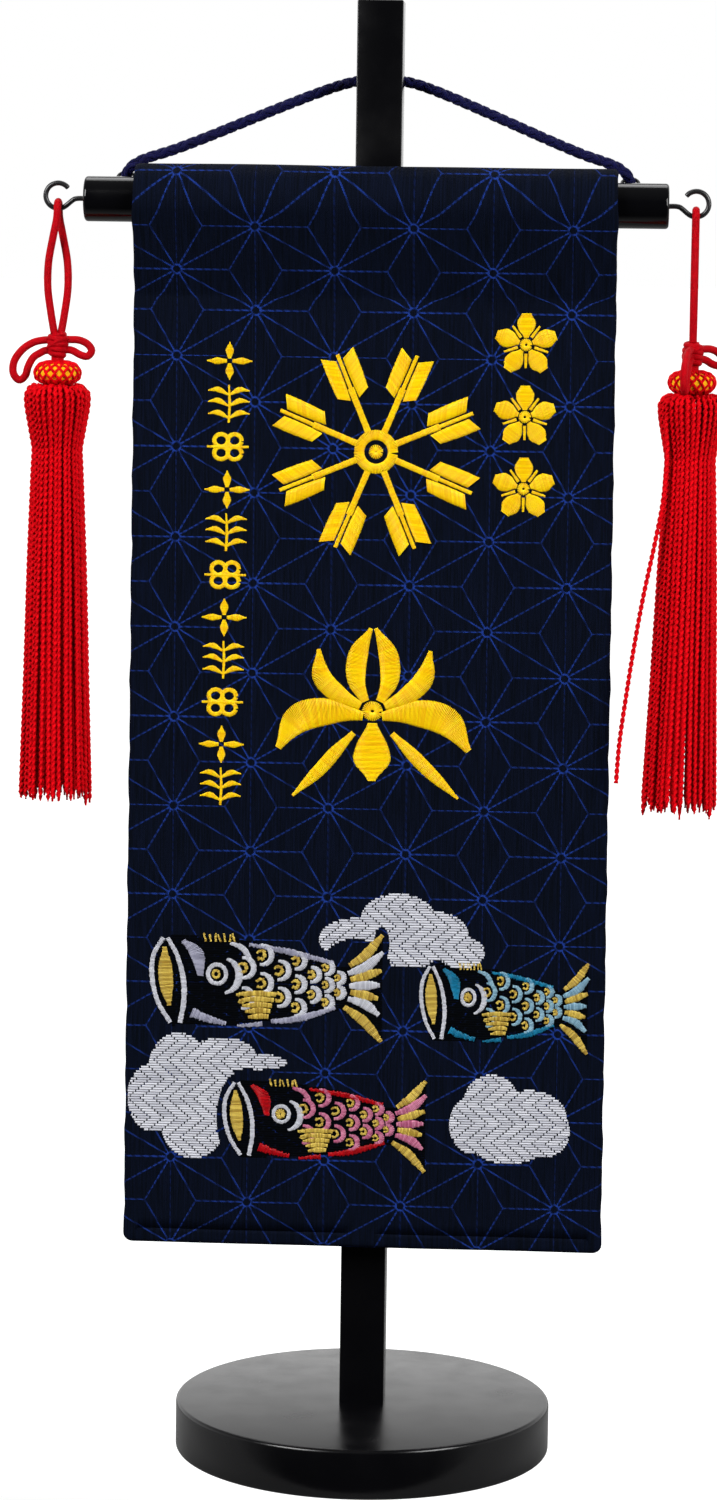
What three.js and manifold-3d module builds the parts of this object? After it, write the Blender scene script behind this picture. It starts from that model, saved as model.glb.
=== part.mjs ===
// Tabletop hanging banner: a black lacquered stand, a crossbar that hangs on a braided cord behind the
// post, a padded brocade banner with a sleeve for the crossbar, and a silk tassel hooked to each end.
// Millimetres, +Z up, the banner faces -Y. The origin is the centre of the base's underside.
import * as THREE from "three";
import { mergeVertices } from "three/addons/utils/BufferGeometryUtils.js";
import Module from "manifold-3d";

const wasm = await Module();
wasm.setup();

// Driving dimensions, in millimetres.
const touchGap = 0.3; // left between pieces that touch, or pass through each other

const baseDiameter = 152;
const baseThickness = 20;
const baseEdgeRadius = 1.5;

const postSide = 18;
const postHeight = 562; // above the base
const postEdgeRadius = 0.6;

const baseScrewDiameter = 5;
const baseScrewLength = 45;
const baseScrewHeadDiameter = 10;
const baseScrewHeadHeight = 3;
const baseScrewInset = 1; // how far the head lies above the underside

const backHookWire = 2.5;
const backHookDepth = 12; // how far the shank goes into the post
const backHookUpright = 7.5;
const backHookBend = 2.5; // radius of the square bend, at the wire's middle

const cordDiameter = 4.4;
const cordBelowPostTop = 30; // where the cord's middle hangs on the back hook
const cordToPost = 1.2; // clear of the post's back
const cordKnotDiameter = 8;
const cordKnotDrop = 6.6; // from the ring's middle down to the knot's, clear of the cord's end

const rodDiameter = 17.5;
const rodLength = 227;
const rodEdgeRadius = 1.3;
const rodBelowCord = 48.4; // from the cord's middle on the back hook down to the rod's axis

const screwHookWire = 2;
const screwHookRadius = 4.9; // of the open loop, at the wire's middle
const screwHookReach = 10.5; // from the rod's end out to the middle of the loop
const screwHookRise = 1; // the loop's middle above the rod's axis
const screwHookDepth = 12; // how far the shank goes into the rod

const screwEyeWire = 1.4;
const screwEyeRadius = 3.3; // of the ring, at the wire's middle
const screwEyeSpacing = 197;
const screwEyeTilt = 50; // degrees back from straight up
const screwEyeDepth = 7;

const bannerTopWidth = 187.5;
const bannerBottomWidth = 191.5;
const bannerDrop = 415; // from the rod's axis down to the hem
const brocadeThickness = 0.9;
const interliningThickness = 2.2;
const liningThickness = 0.8;
const interliningInset = 1.6; // how far the filling stays back from the cloth's edges
const sleeveClearance = 0.75; // round the rod
const sleeveToPost = 0.5;
const sleeveDepth = 38; // from the rod's axis down to where the sleeve is sewn shut
const sleeveTail = 7; // seam allowance below that seam
const sleeveBend = 12; // radius of the inner face where the sleeve opens

const tasselCordDiameter = 3;
const tasselLoopLength = 47.4; // from the hook's wire down to the knot
const tasselKnotDiameter = 9;
const tasselKnotHeight = 10.9;
const tasselHeadDiameter = 19.5;
const tasselHeadHeight = 10.6;
const tasselSkirtLength = 165;
const tasselShoulderDiameter = 26;
const tasselWaistDiameter = 20;
const tasselHemDiameter = 31;

// Worked out from the driving dimensions.
const postTop = baseThickness + postHeight;
const cordHeight = postTop - cordBelowPostTop;
const cordBack = postSide / 2 + cordToPost + cordDiameter / 2; // y of the cord behind the post
const clothThickness = liningThickness + interliningThickness + brocadeThickness + 2 * touchGap;
const sleeveRadius = rodDiameter / 2 + sleeveClearance; // of the lining's inner face
const sleeveOuterRadius = sleeveRadius + clothThickness;
const rodY = -(postSide / 2 + sleeveToPost + sleeveOuterRadius);
const rodZ = cordHeight - rodBelowCord;
const hookX = rodLength / 2 + screwHookReach;
const tasselPivotZ = rodZ + screwHookRise - screwHookRadius; // the wire at the bottom of the screw hook

const roundSides = 40; // facets round the rod and the base's hole
const X = new THREE.Vector3(1, 0, 0);
const Y = new THREE.Vector3(0, 1, 0);
const Z = new THREE.Vector3(0, 0, 1);

// Colours and finishes.
const finish = (color, roughness, metalness = 0) =>
  new THREE.MeshStandardMaterial({ color, roughness, metalness });
const blackLacquer = () => finish(0x0b0b0c, 0.35);
const blackWire = () => finish(0x111113, 0.4, 0.6);
const zincSteel = () => finish(0xb9bcc0, 0.35, 1);
const navyCord = () => finish(0x14163a, 0.8);
const brocade = () => finish(0x0d1220, 0.7);
const felt = () => finish(0xe6e2d8, 0.95);
const lining = () => finish(0x11131c, 0.8);
const redSilk = () => finish(0xd20f1e, 0.6);
const redAndGold = () => finish(0xc8241c, 0.6);

function piece(name, geometry, material) {
  const mesh = new THREE.Mesh(geometry, material);
  mesh.name = name;
  return mesh;
}

function toSolid(geometry) {
  const bare = geometry.clone();
  bare.deleteAttribute("normal");
  bare.deleteAttribute("uv");
  const merged = mergeVertices(bare, 1e-4);
  return new wasm.Manifold(
    new wasm.Mesh({
      numProp: 3,
      vertProperties: merged.attributes.position.array,
      triVerts: new Uint32Array(merged.index.array),
    }),
  );
}

function toGeometry(solid) {
  const mesh = solid.getMesh();
  return new THREE.BufferGeometry()
    .setAttribute("position", new THREE.BufferAttribute(mesh.vertProperties, 3))
    .setIndex(new THREE.BufferAttribute(mesh.triVerts, 1));
}

function cut(body, ...tools) {
  return toGeometry(tools.reduce((left, tool) => left.subtract(toSolid(tool)), toSolid(body)));
}

function join(first, ...others) {
  return toGeometry(others.reduce((sum, other) => sum.add(toSolid(other)), toSolid(first)));
}

// A cylinder from one point to another.
function bar(from, to, diameter, sides = 16) {
  const along = to.clone().sub(from);
  const radius = diameter / 2;
  const turn = new THREE.Quaternion().setFromUnitVectors(Y, along.clone().normalize());
  return new THREE.CylinderGeometry(radius, radius, along.length(), sides)
    .applyQuaternion(turn)
    .translate(...from.clone().add(to).multiplyScalar(0.5));
}

// A closed tube of round section along a smooth curve through the points.
function tube(points, diameter, sides, steps) {
  const section = new THREE.Shape();
  for (let i = 0; i < sides; i++) {
    const angle = (i / sides) * 2 * Math.PI;
    const corner = [(Math.cos(angle) * diameter) / 2, (Math.sin(angle) * diameter) / 2];
    if (i === 0) section.moveTo(...corner);
    else section.lineTo(...corner);
  }
  const path = new THREE.CatmullRomCurve3(points, false, "centripetal");
  return new THREE.ExtrudeGeometry(section, { steps, extrudePath: path, bevelEnabled: false });
}

// A solid of revolution about Z, from a profile of [radius, z] points that runs upwards.
function turned(profile, sides) {
  const points = profile.map(([radius, z]) => new THREE.Vector2(radius, z));
  return new THREE.LatheGeometry(points, sides).rotateX(Math.PI / 2);
}

// Points of a round edge: a quarter of a circle, from one angle to another in degrees.
function arc(centreR, centreZ, radius, fromDegrees, toDegrees, count) {
  return Array.from({ length: count + 1 }, (_, i) => {
    const angle = THREE.MathUtils.degToRad(fromDegrees + ((toDegrees - fromDegrees) * i) / count);
    return [centreR + radius * Math.cos(angle), centreZ + radius * Math.sin(angle)];
  });
}

function baseDisc() {
  const outer = baseDiameter / 2;
  const r = baseEdgeRadius;
  const hole = baseScrewDiameter / 2 + touchGap;
  const recess = baseScrewHeadDiameter / 2 + touchGap;
  const headTop = baseScrewInset + baseScrewHeadHeight;
  const profile = [
    [hole, baseThickness],
    [hole, headTop + touchGap],
    [recess, baseScrewInset + touchGap],
    [recess, 0],
    ...arc(outer - r, r, r, -90, 0, 3),
    ...arc(outer - r, baseThickness - r, r, 0, 90, 3),
    [hole, baseThickness],
  ];
  return piece("base_disc", turned(profile, 72), blackLacquer());
}

function baseScrew() {
  const shank = baseScrewDiameter / 2;
  const head = baseScrewHeadDiameter / 2;
  const bottom = baseScrewInset;
  const tip = bottom + baseScrewLength;
  const pointLength = baseScrewDiameter;
  const driveDepth = baseScrewHeadHeight * 0.6;
  const driveRadius = shank * 0.7;
  const profile = [
    [0, bottom + driveDepth],
    [driveRadius, bottom],
    [head, bottom],
    [shank, bottom + baseScrewHeadHeight],
    [shank, tip - pointLength],
    [0, tip],
  ];
  return piece("base_screw", turned(profile, 24), zincSteel());
}

function post() {
  const half = postSide / 2;
  const r = postEdgeRadius;
  const section = new THREE.Shape();
  section.absarc(half - r, half - r, r, 0, Math.PI / 2);
  section.absarc(r - half, half - r, r, Math.PI / 2, Math.PI);
  section.absarc(r - half, r - half, r, Math.PI, 1.5 * Math.PI);
  section.absarc(half - r, r - half, r, 1.5 * Math.PI, 2 * Math.PI);
  const timber = new THREE.ExtrudeGeometry(section, {
    depth: postHeight,
    bevelEnabled: false,
    curveSegments: 2,
  });
  const screwTop = baseScrewInset + baseScrewLength - baseThickness;
  const pilot = bar(
    new THREE.Vector3(0, 0, -1),
    new THREE.Vector3(0, 0, screwTop + touchGap),
    baseScrewDiameter + 2 * touchGap,
  );
  const hookHeight = backHookHeight() - baseThickness;
  const hookHole = bar(
    new THREE.Vector3(0, half - backHookDepth - touchGap, hookHeight),
    new THREE.Vector3(0, half + 1, hookHeight),
    backHookWire + 2 * touchGap,
  );
  const mesh = piece("post", cut(timber, pilot, hookHole), blackLacquer());
  mesh.position.z = baseThickness;
  return mesh;
}

// The middle of the back hook's wire, just under the cord.
function backHookHeight() {
  return cordHeight - cordDiameter / 2 - touchGap - backHookWire / 2;
}

function backHook() {
  const start = postSide / 2 - backHookDepth;
  const upright = cordBack + cordDiameter / 2 + touchGap + backHookWire / 2;
  const bend = arc(upright - backHookBend, backHookBend, backHookBend, -90, 0, 5);
  const points = [
    [start, 0],
    [(start + upright - backHookBend) / 2, 0],
    ...bend,
    [upright, backHookUpright],
  ].map(([y, z]) => new THREE.Vector3(0, y, z));
  const mesh = piece("back_hook", tube(points, backHookWire, 8, 24), blackWire());
  mesh.position.z = backHookHeight();
  return mesh;
}

// The screw eye's ring stands off the rod on a line that leans back from straight up.
function screwEyeLine() {
  return Z.clone().applyAxisAngle(X, -THREE.MathUtils.degToRad(screwEyeTilt));
}

function screwEyeCentre() {
  const standOff = rodDiameter / 2 + touchGap + screwEyeRadius + screwEyeWire / 2;
  return screwEyeLine().multiplyScalar(standOff);
}

function rod() {
  const half = rodLength / 2;
  const outer = rodDiameter / 2;
  const r = rodEdgeRadius;
  const bore = screwHookWire / 2 + touchGap;
  const boreEnd = half - screwHookDepth - touchGap;
  const profile = [
    [0, -boreEnd],
    [bore, -boreEnd],
    [bore, -half],
    ...arc(outer - r, r - half, r, -90, 0, 4),
    ...arc(outer - r, half - r, r, 0, 90, 4),
    [bore, half],
    [bore, boreEnd],
    [0, boreEnd],
  ];
  const blank = turned(profile, roundSides).rotateY(Math.PI / 2);
  const line = screwEyeLine();
  const eyeHoles = [-1, 1].map((side) =>
    bar(
      line.clone().multiplyScalar(outer - screwEyeDepth - touchGap),
      line.clone().multiplyScalar(outer + 1),
      screwEyeWire + 2 * touchGap,
      12,
    ).translate((side * screwEyeSpacing) / 2, 0, 0),
  );
  return piece("rod", cut(blank, ...eyeHoles), blackLacquer());
}

function screwEye(name, side) {
  const line = screwEyeLine();
  const centre = screwEyeCentre();
  const turn = new THREE.Quaternion().setFromAxisAngle(X, THREE.MathUtils.degToRad(90 - screwEyeTilt));
  const ring = new THREE.TorusGeometry(screwEyeRadius, screwEyeWire / 2, 8, 24)
    .applyQuaternion(turn)
    .translate(...centre);
  const shank = bar(
    line.clone().multiplyScalar(rodDiameter / 2 - screwEyeDepth),
    centre.clone().sub(line.clone().multiplyScalar(screwEyeRadius)),
    screwEyeWire,
    8,
  );
  const mesh = piece(name, join(ring, shank), blackWire());
  mesh.position.x = (side * screwEyeSpacing) / 2;
  return mesh;
}

// An open hook of round wire. It is drawn in the plane of the rod, from the tip round the loop to the
// shank, with "inwards" towards the rod.
function screwHook(name, side) {
  const shankLevel = -screwHookRise;
  const loop = arc(0, 0, screwHookRadius, 37, 310, 18);
  const [lastIn, lastUp] = loop[loop.length - 1];
  const slope = Math.tan(THREE.MathUtils.degToRad(40));
  const meet = lastIn + (shankLevel - lastUp) / slope;
  const neck = [
    [lastIn + (meet - lastIn) * 0.55, lastUp + (shankLevel - lastUp) * 0.55],
    [meet - 0.25, shankLevel - 0.35],
    [meet + 1.1, shankLevel],
  ];
  const shank = [0.25, 0.5, 1].map((share) => [
    meet + 1.1 + (screwHookReach + screwHookDepth - meet - 1.1) * share,
    shankLevel,
  ]);
  const points = [...loop, ...neck, ...shank].map(
    ([inwards, up]) => new THREE.Vector3(-side * inwards, 0, up),
  );
  const mesh = piece(name, tube(points, screwHookWire, 8, 38), blackWire());
  mesh.position.set(side * hookX, 0, screwHookRise);
  return mesh;
}

// The hanging cord's route in the part's frame, from the knot under the left screw eye, up through the
// ring and over the back hook. The right half mirrors the left.
const cordHalfRoute = [
  [-98.5, -12.0, 510.3],
  [-98.5, -13.6, 512.2],
  [-97.6, -14.9, 514.8],
  [-94.6, -14.4, 517.7],
  [-89.5, -12.9, 520.0],
  [-81.0, -11.0, 522.8],
  [-68.0, -7.1, 528.0],
  [-54.0, -2.8, 534.0],
  [-40.0, 1.5, 540.0],
  [-26.0, 6.5, 545.8],
  [-15.0, 10.3, 549.8],
  [-7.0, 12.2, 551.6],
];
const cordMiddle = [0, 12.4, 552];

function hangingCord() {
  const route = [
    ...cordHalfRoute,
    cordMiddle,
    ...cordHalfRoute.map(([x, y, z]) => [-x, y, z]).reverse(),
  ].map((point) => new THREE.Vector3(...point));
  return piece("hanging_cord", tube(route, cordDiameter, 10, 52), navyCord());
}

// The knot that keeps the cord's end from slipping back through the ring.
function cordKnot(name, side) {
  const tilt = THREE.MathUtils.degToRad(screwEyeTilt);
  const downThrough = new THREE.Vector3(0, Math.cos(tilt), -Math.sin(tilt));
  const centre = screwEyeCentre().add(downThrough.multiplyScalar(cordKnotDrop));
  const mesh = piece(name, new THREE.SphereGeometry(cordKnotDiameter / 2, 16, 10), navyCord());
  mesh.position.copy(centre);
  mesh.position.x = (side * screwEyeSpacing) / 2;
  return mesh;
}

// The bend, in radians, of a line that leaves a sleeve of sleeveRadius and turns upright at sleeveDepth.
function sleeveLean(across) {
  const reach = Math.hypot(across, sleeveDepth);
  return Math.atan2(sleeveDepth, across) - Math.acos((sleeveBend + sleeveRadius) / reach);
}

// The line of the cloth's inner face round the rod, as points [y, z] with the outward direction: up the
// back of the panel, out round the rod and down to the seam that closes the sleeve.
function clothLine() {
  const line = [];
  const add = (y, z, outward) => line.push({ y, z, outY: Math.cos(outward), outZ: Math.sin(outward) });
  const panelBack = clothThickness / 2;
  const tailFace = panelBack + touchGap;
  const frontLean = sleeveLean(sleeveBend - panelBack);
  const rearLean = sleeveLean(sleeveBend + tailFace);
  const bendSteps = 4;
  const roundSteps = 20;
  add(panelBack, -bannerDrop, Math.PI);
  for (let i = 0; i <= bendSteps; i++) {
    const turn = (frontLean * i) / bendSteps;
    const y = panelBack - sleeveBend + sleeveBend * Math.cos(turn);
    add(y, -sleeveDepth + sleeveBend * Math.sin(turn), Math.PI + turn);
  }
  for (let i = 0; i <= roundSteps; i++) {
    const turn = Math.PI + frontLean - ((Math.PI + frontLean + rearLean) * i) / roundSteps;
    add(sleeveRadius * Math.cos(turn), sleeveRadius * Math.sin(turn), turn);
  }
  for (let i = bendSteps; i >= 0; i--) {
    const turn = (rearLean * i) / bendSteps;
    const y = tailFace + sleeveBend - sleeveBend * Math.cos(turn);
    add(y, -sleeveDepth + sleeveBend * Math.sin(turn), -turn);
  }
  add(tailFace, -sleeveDepth - sleeveTail, 0);
  return line;
}

function bannerWidth(z) {
  const share = (sleeveOuterRadius - z) / (sleeveOuterRadius + bannerDrop);
  return bannerTopWidth + (bannerBottomWidth - bannerTopWidth) * share;
}

// One layer of the banner, from its depth outside the inner face to its thickness, with its own inset.
function bannerLayer(name, depth, thickness, inset, material) {
  const line = clothLine();
  line[0].z += inset;
  line[line.length - 1].z += inset;
  const at = (offset) => (p) => new THREE.Vector2(p.y + p.outY * offset, p.z + p.outZ * offset);
  const outline = [...line.map(at(depth)), ...line.map(at(depth + thickness)).reverse()];
  const geometry = new THREE.ExtrudeGeometry(new THREE.Shape(outline), {
    depth: 1,
    bevelEnabled: false,
  })
    .translate(0, 0, -0.5)
    .applyMatrix4(new THREE.Matrix4().makeBasis(Y, Z, X));
  const position = geometry.attributes.position;
  for (let i = 0; i < position.count; i++) {
    const width = bannerWidth(position.getZ(i)) - 2 * inset;
    position.setX(i, position.getX(i) * width);
  }
  return piece(name, geometry, material);
}

function banner() {
  const fillDepth = liningThickness + touchGap;
  const frontDepth = fillDepth + interliningThickness + touchGap;
  const group = new THREE.Group();
  group.add(
    bannerLayer("banner_lining", 0, liningThickness, 0, lining()),
    bannerLayer("banner_interlining", fillDepth, interliningThickness, interliningInset, felt()),
    bannerLayer("banner_front", frontDepth, brocadeThickness, 0, brocade()),
  );
  return group;
}

// Half of the tassel's loop below the hook's wire: [half the gap between its legs, share of the loop's
// twist, height above the hook's wire]. The tassel's whole frame has its origin on that wire.
const tasselLeg = [
  [2.6, 0.05, -3.5],
  [3.1, 0.4, -11],
  [3.9, 0.8, -21],
  [3.9, 1, -31],
  [2.6, 1, -41],
  [1.6, 1, -46.9],
];

// The two loose bow loops, as [distance out from the tassel's axis, height above the hook's wire].
const longBow = [
  [4.9, -51.2],
  [9.5, -52.2],
  [14.0, -55.2],
  [17.2, -60.0],
  [17.3, -64.6],
  [15.0, -67.0],
  [12.7, -65.2],
  [11.6, -61.7],
  [9.5, -58.0],
  [6.9, -56.3],
  [4.9, -55.3],
];
const shortBow = [
  [4.9, -50.9],
  [8.2, -51.0],
  [11.6, -52.4],
  [13.4, -55.0],
  [11.8, -57.3],
  [8.8, -56.7],
  [6.6, -55.5],
  [4.9, -54.9],
];

function tasselLoop(name, twist) {
  const saddle = screwHookWire / 2 + touchGap + tasselCordDiameter / 2;
  const over = arc(0, 0, saddle, 180, 0, 6).map(([y, z]) => new THREE.Vector3(0, y, z));
  const leg = (front) =>
    tasselLeg.map(([half, share, z]) => {
      const turn = THREE.MathUtils.degToRad(twist) * share;
      return new THREE.Vector3(-front * half * Math.sin(turn), -front * half * Math.cos(turn), z);
    });
  const points = [...leg(1).reverse(), ...over, ...leg(-1)];
  return piece(name, tube(points, tasselCordDiameter, 8, 46), redSilk());
}

function tasselBow(name, route, heading) {
  const turn = THREE.MathUtils.degToRad(heading);
  const points = route.map(
    ([out, z]) => new THREE.Vector3(out * Math.cos(turn), out * Math.sin(turn), z),
  );
  return piece(name, tube(points, tasselCordDiameter, 8, 20), redSilk());
}

// A ball that is fuller than an ellipsoid, turned about Z, from its top down.
function ball(diameter, height, top, sides) {
  const steps = 10;
  const profile = Array.from({ length: steps + 1 }, (_, i) => {
    const angle = -Math.PI / 2 + (Math.PI * i) / steps;
    const fuller = (value) => Math.sign(value) * Math.abs(value) ** 0.8;
    const radius = i === 0 || i === steps ? 0 : (diameter / 2) * fuller(Math.cos(angle));
    return [radius, top - height / 2 + (height / 2) * fuller(Math.sin(angle))];
  });
  return turned(profile, sides);
}

function tasselSkirt(name, top) {
  const shoulder = tasselShoulderDiameter / 2;
  const waist = tasselWaistDiameter / 2;
  const hem = tasselHemDiameter / 2;
  const bottom = top - tasselSkirtLength;
  const profile = [
    [0, bottom],
    [hem - 1, bottom],
    [hem, bottom + 3],
    [waist + (hem - waist) * 0.6, bottom + tasselSkirtLength * 0.32],
    [waist + (hem - waist) * 0.36, bottom + tasselSkirtLength * 0.59],
    [waist + (hem - waist) * 0.1, bottom + tasselSkirtLength * 0.79],
    [waist, top - 22],
    [shoulder - 0.7, top - 12],
    [shoulder, top - 5.5],
    [shoulder - 0.9, top - 1.8],
    [tasselHeadDiameter / 2 - 1.5, top],
    [0, top],
  ];
  return piece(name, turned(profile, 28), redSilk());
}

// A tassel in the frame of the hook's wire. The twist turns the loop's legs from front-and-back at the
// hook, and the two headings aim the bow loops, in degrees from +X.
function tassel(side, name, twist, longHeading, shortHeading) {
  const knotTop = -tasselLoopLength;
  const headTop = knotTop - tasselKnotHeight - touchGap;
  const skirtTop = headTop - tasselHeadHeight - touchGap;
  const knot = ball(tasselKnotDiameter, tasselKnotHeight, knotTop, 16);
  const head = ball(tasselHeadDiameter, tasselHeadHeight, headTop, 20);
  const group = new THREE.Group();
  group.add(
    tasselLoop("tassel_loop_" + name, twist),
    piece("tassel_knot_" + name, knot, redSilk()),
    tasselBow("tassel_bow_long_" + name, longBow, longHeading),
    tasselBow("tassel_bow_short_" + name, shortBow, shortHeading),
    piece("tassel_head_" + name, head, redAndGold()),
    tasselSkirt("tassel_skirt_" + name, skirtTop),
  );
  group.position.set(side * hookX, rodY, tasselPivotZ);
  return group;
}

const crossbar = new THREE.Group();
crossbar.position.set(0, rodY, rodZ);
crossbar.add(
  rod(),
  screwEye("screw_eye_left", -1),
  screwEye("screw_eye_right", 1),
  screwHook("screw_hook_left", -1),
  screwHook("screw_hook_right", 1),
  cordKnot("cord_knot_left", -1),
  cordKnot("cord_knot_right", 1),
  banner(),
);

const flagStand = new THREE.Group();
flagStand.add(
  baseDisc(),
  baseScrew(),
  post(),
  backHook(),
  hangingCord(),
  crossbar,
  tassel(-1, "left", 80, 180, 0),
  tassel(1, "right", 0, 258, 30),
);

export default flagStand;
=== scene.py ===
# %% [markdown]
# # A table banner on a lacquered stand
# A black post on a round foot carries a crossbar on a braided cord. A padded brocade
# banner hangs on the crossbar, with a red tassel hooked to each end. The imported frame
# fixes every size, and this file gives the pieces their real shapes and finishes.

import math
import random

import bpy
import numpy as np
from mathutils import Matrix, Vector


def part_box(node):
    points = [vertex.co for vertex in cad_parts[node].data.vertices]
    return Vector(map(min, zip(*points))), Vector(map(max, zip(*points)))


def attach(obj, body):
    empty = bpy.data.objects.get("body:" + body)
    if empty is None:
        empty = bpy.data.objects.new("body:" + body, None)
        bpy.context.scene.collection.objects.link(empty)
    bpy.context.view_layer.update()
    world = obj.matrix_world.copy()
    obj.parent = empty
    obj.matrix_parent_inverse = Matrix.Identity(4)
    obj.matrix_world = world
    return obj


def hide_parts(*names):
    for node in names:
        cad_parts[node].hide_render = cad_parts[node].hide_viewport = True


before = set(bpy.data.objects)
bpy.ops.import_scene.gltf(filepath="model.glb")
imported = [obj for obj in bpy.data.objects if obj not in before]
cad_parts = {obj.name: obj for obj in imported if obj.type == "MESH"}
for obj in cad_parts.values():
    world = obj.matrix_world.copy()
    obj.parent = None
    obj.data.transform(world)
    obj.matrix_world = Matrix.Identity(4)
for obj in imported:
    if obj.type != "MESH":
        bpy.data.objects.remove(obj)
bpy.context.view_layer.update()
MM = 0.001

# %% [markdown]
# ## Camera and light
# The banner is seen from a little above and from slightly right of the middle, through
# a long lens, so the post and the banner's edges stay almost parallel. The camera comes
# first, because the cords are judged against what it sees.

# %% camera
LENS_MM, EYE_PLACE = 100.8, (0.082, -1.666, 0.498)
camera_data = bpy.data.cameras.new("camera")
camera_data.sensor_width = 36
camera_data.lens = LENS_MM
camera_data.clip_end = 100
camera = bpy.data.objects.new("camera", camera_data)
bpy.context.scene.collection.objects.link(camera)
bpy.context.scene.camera = camera
yaw, pitch, roll = (math.radians(a) for a in (-2.994, 7.235, 0.777))
ahead = Vector((math.sin(yaw) * math.cos(pitch), math.cos(yaw) * math.cos(pitch), -math.sin(pitch)))
level = Vector((math.cos(yaw), -math.sin(yaw), 0))
above = level.cross(ahead)
right = level * math.cos(roll) + above * math.sin(roll)
up = above * math.cos(roll) - level * math.sin(roll)
turn = Matrix((right, up, -ahead)).transposed().to_4x4()
camera.matrix_world = Matrix.Translation(EYE_PLACE) @ turn
print("camera at", EYE_PLACE)

# %% [markdown]
# The set is white to the eye, but black lacquer shows what stands round it. So the room
# shines behind the piece, up to about 30 degrees, and is dim above and on the viewer's
# side. That keeps the post's face deep black, while the foot's top picks up a mid grey.

# %% room light
scene = bpy.context.scene
scene.view_settings.view_transform = "Standard"
world = bpy.data.worlds.new("white_room")
scene.world = world
world.use_nodes = True


def add_node(tree, kind, inputs=None, **settings):
    """Adds one node, sets its settings, and sets or links each named input."""
    made = tree.nodes.new("ShaderNode" + kind)
    for name, value in settings.items():
        setattr(made, name, value)
    for name, value in (inputs or {}).items():
        if isinstance(value, bpy.types.NodeSocket):
            tree.links.new(value, made.inputs[name])
        else:
            made.inputs[name].default_value = value
    return made


def calc(tree, operation, *values):
    """The result of one sum on sockets or numbers."""
    return add_node(tree, "Math", dict(enumerate(values)), operation=operation).outputs[0]


def vector_calc(tree, operation, *values):
    """The result of one sum on vectors."""
    return add_node(tree, "VectorMath", dict(enumerate(values)), operation=operation).outputs[0]


def ramp(tree, value, low, high, first, last):
    """Runs from first to last while the value runs from low to high."""
    return add_node(tree, "MapRange", {0: value, 1: low, 2: high, 3: first, 4: last}).outputs[0]


def mix(tree, share, dark, light):
    """A colour between two."""
    return add_node(tree, "Mix", {0: share, 6: dark, 7: light}, data_type="RGBA").outputs[2]


def noise(tree, place, scale, detail):
    return add_node(tree, "TexNoise", {"Vector": place, "Scale": scale, "Detail": detail}).outputs[0]


def wave(tree, place, scale, distortion, direction, detail=1.0):
    """Even bands, a little disturbed."""
    values = {"Vector": place, "Scale": scale, "Distortion": distortion, "Detail": detail}
    return add_node(tree, "TexWave", values, bands_direction=direction).outputs["Fac"]


def dress(tree, shader, height, strength, distance, **linked):
    """Links a bump, with its depth in metres, and other sockets to a shader."""
    dent = add_node(tree, "Bump", {"Strength": strength, "Distance": distance, "Height": height})
    tree.links.new(dent.outputs[0], shader.inputs["Normal"])
    for name, socket in linked.items():
        tree.links.new(socket, shader.inputs[name.replace("_", " ")])


room = world.node_tree
room.nodes.clear()
direction = add_node(room, "TexCoord").outputs["Generated"]
_, toward_back, upward = add_node(room, "SeparateXYZ", {0: direction}).outputs
behind = ramp(room, toward_back, -0.6, 0.4, 0.015, 1.2)
overhead = ramp(room, upward, 0.35, 1.0, 0.0, 0.2)
sheet_top = ramp(room, upward, 0.34, 0.62, 1.0, 0.25)
glow = calc(room, "MAXIMUM", calc(room, "MULTIPLY", behind, sheet_top), overhead)
seen = add_node(room, "LightPath").outputs["Is Camera Ray"]
strength = add_node(room, "Mix", {0: seen, 2: glow, 3: 1.0}).outputs[0]
paper = add_node(room, "Background", {"Color": (1, 1, 1, 1), "Strength": strength})
add_node(room, "OutputWorld", {"Surface": paper.outputs[0]})
print("room light nodes", len(room.nodes))


# %% lamps
def lamp(name, place, aim, size, watts):
    """A soft square lamp at a place, aimed at a point."""
    data = bpy.data.lights.new(name, "AREA")
    data.shape = "RECTANGLE"
    data.size, data.size_y = size
    data.energy = watts
    made = bpy.data.objects.new(name, data)
    scene.collection.objects.link(made)
    made.location = place
    made.rotation_euler = (Vector(aim) - Vector(place)).to_track_quat("-Z", "Y").to_euler()
    return made


lamp("key_left", (-1.5, -1.5, 1.5), (0, 0, 0.3), (1.0, 1.2), 74)
lamp("key_right", (1.7, -1.4, 1.2), (0, 0, 0.3), (1.0, 1.2), 60)
lamp("top_soft", (0, 1.1, 2.2), (0, 0, 0.2), (1.8, 1.0), 22)
print("lamps 3")

# %% floor
FLOOR_SIZE, FLOOR_FRONT = 30, -0.082
bpy.ops.object.select_all(action="DESELECT")
bpy.ops.mesh.primitive_plane_add(size=FLOOR_SIZE, location=(0, FLOOR_FRONT + FLOOR_SIZE / 2, 0))
floor = bpy.context.object
floor.name = "floor"
bpy.ops.object.mode_set(mode="EDIT")
bpy.ops.mesh.subdivide(number_cuts=4)
bpy.ops.object.mode_set(mode="OBJECT")


def srgb(code, alpha=1.0):
    """A colour written as sRGB hex, turned to the linear values that a shader takes."""
    values = [int(code[i : i + 2], 16) / 255 for i in (1, 3, 5)]
    linear = [v / 12.92 if v <= 0.04045 else ((v + 0.055) / 1.055) ** 2.4 for v in values]
    return (*linear, alpha)


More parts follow.
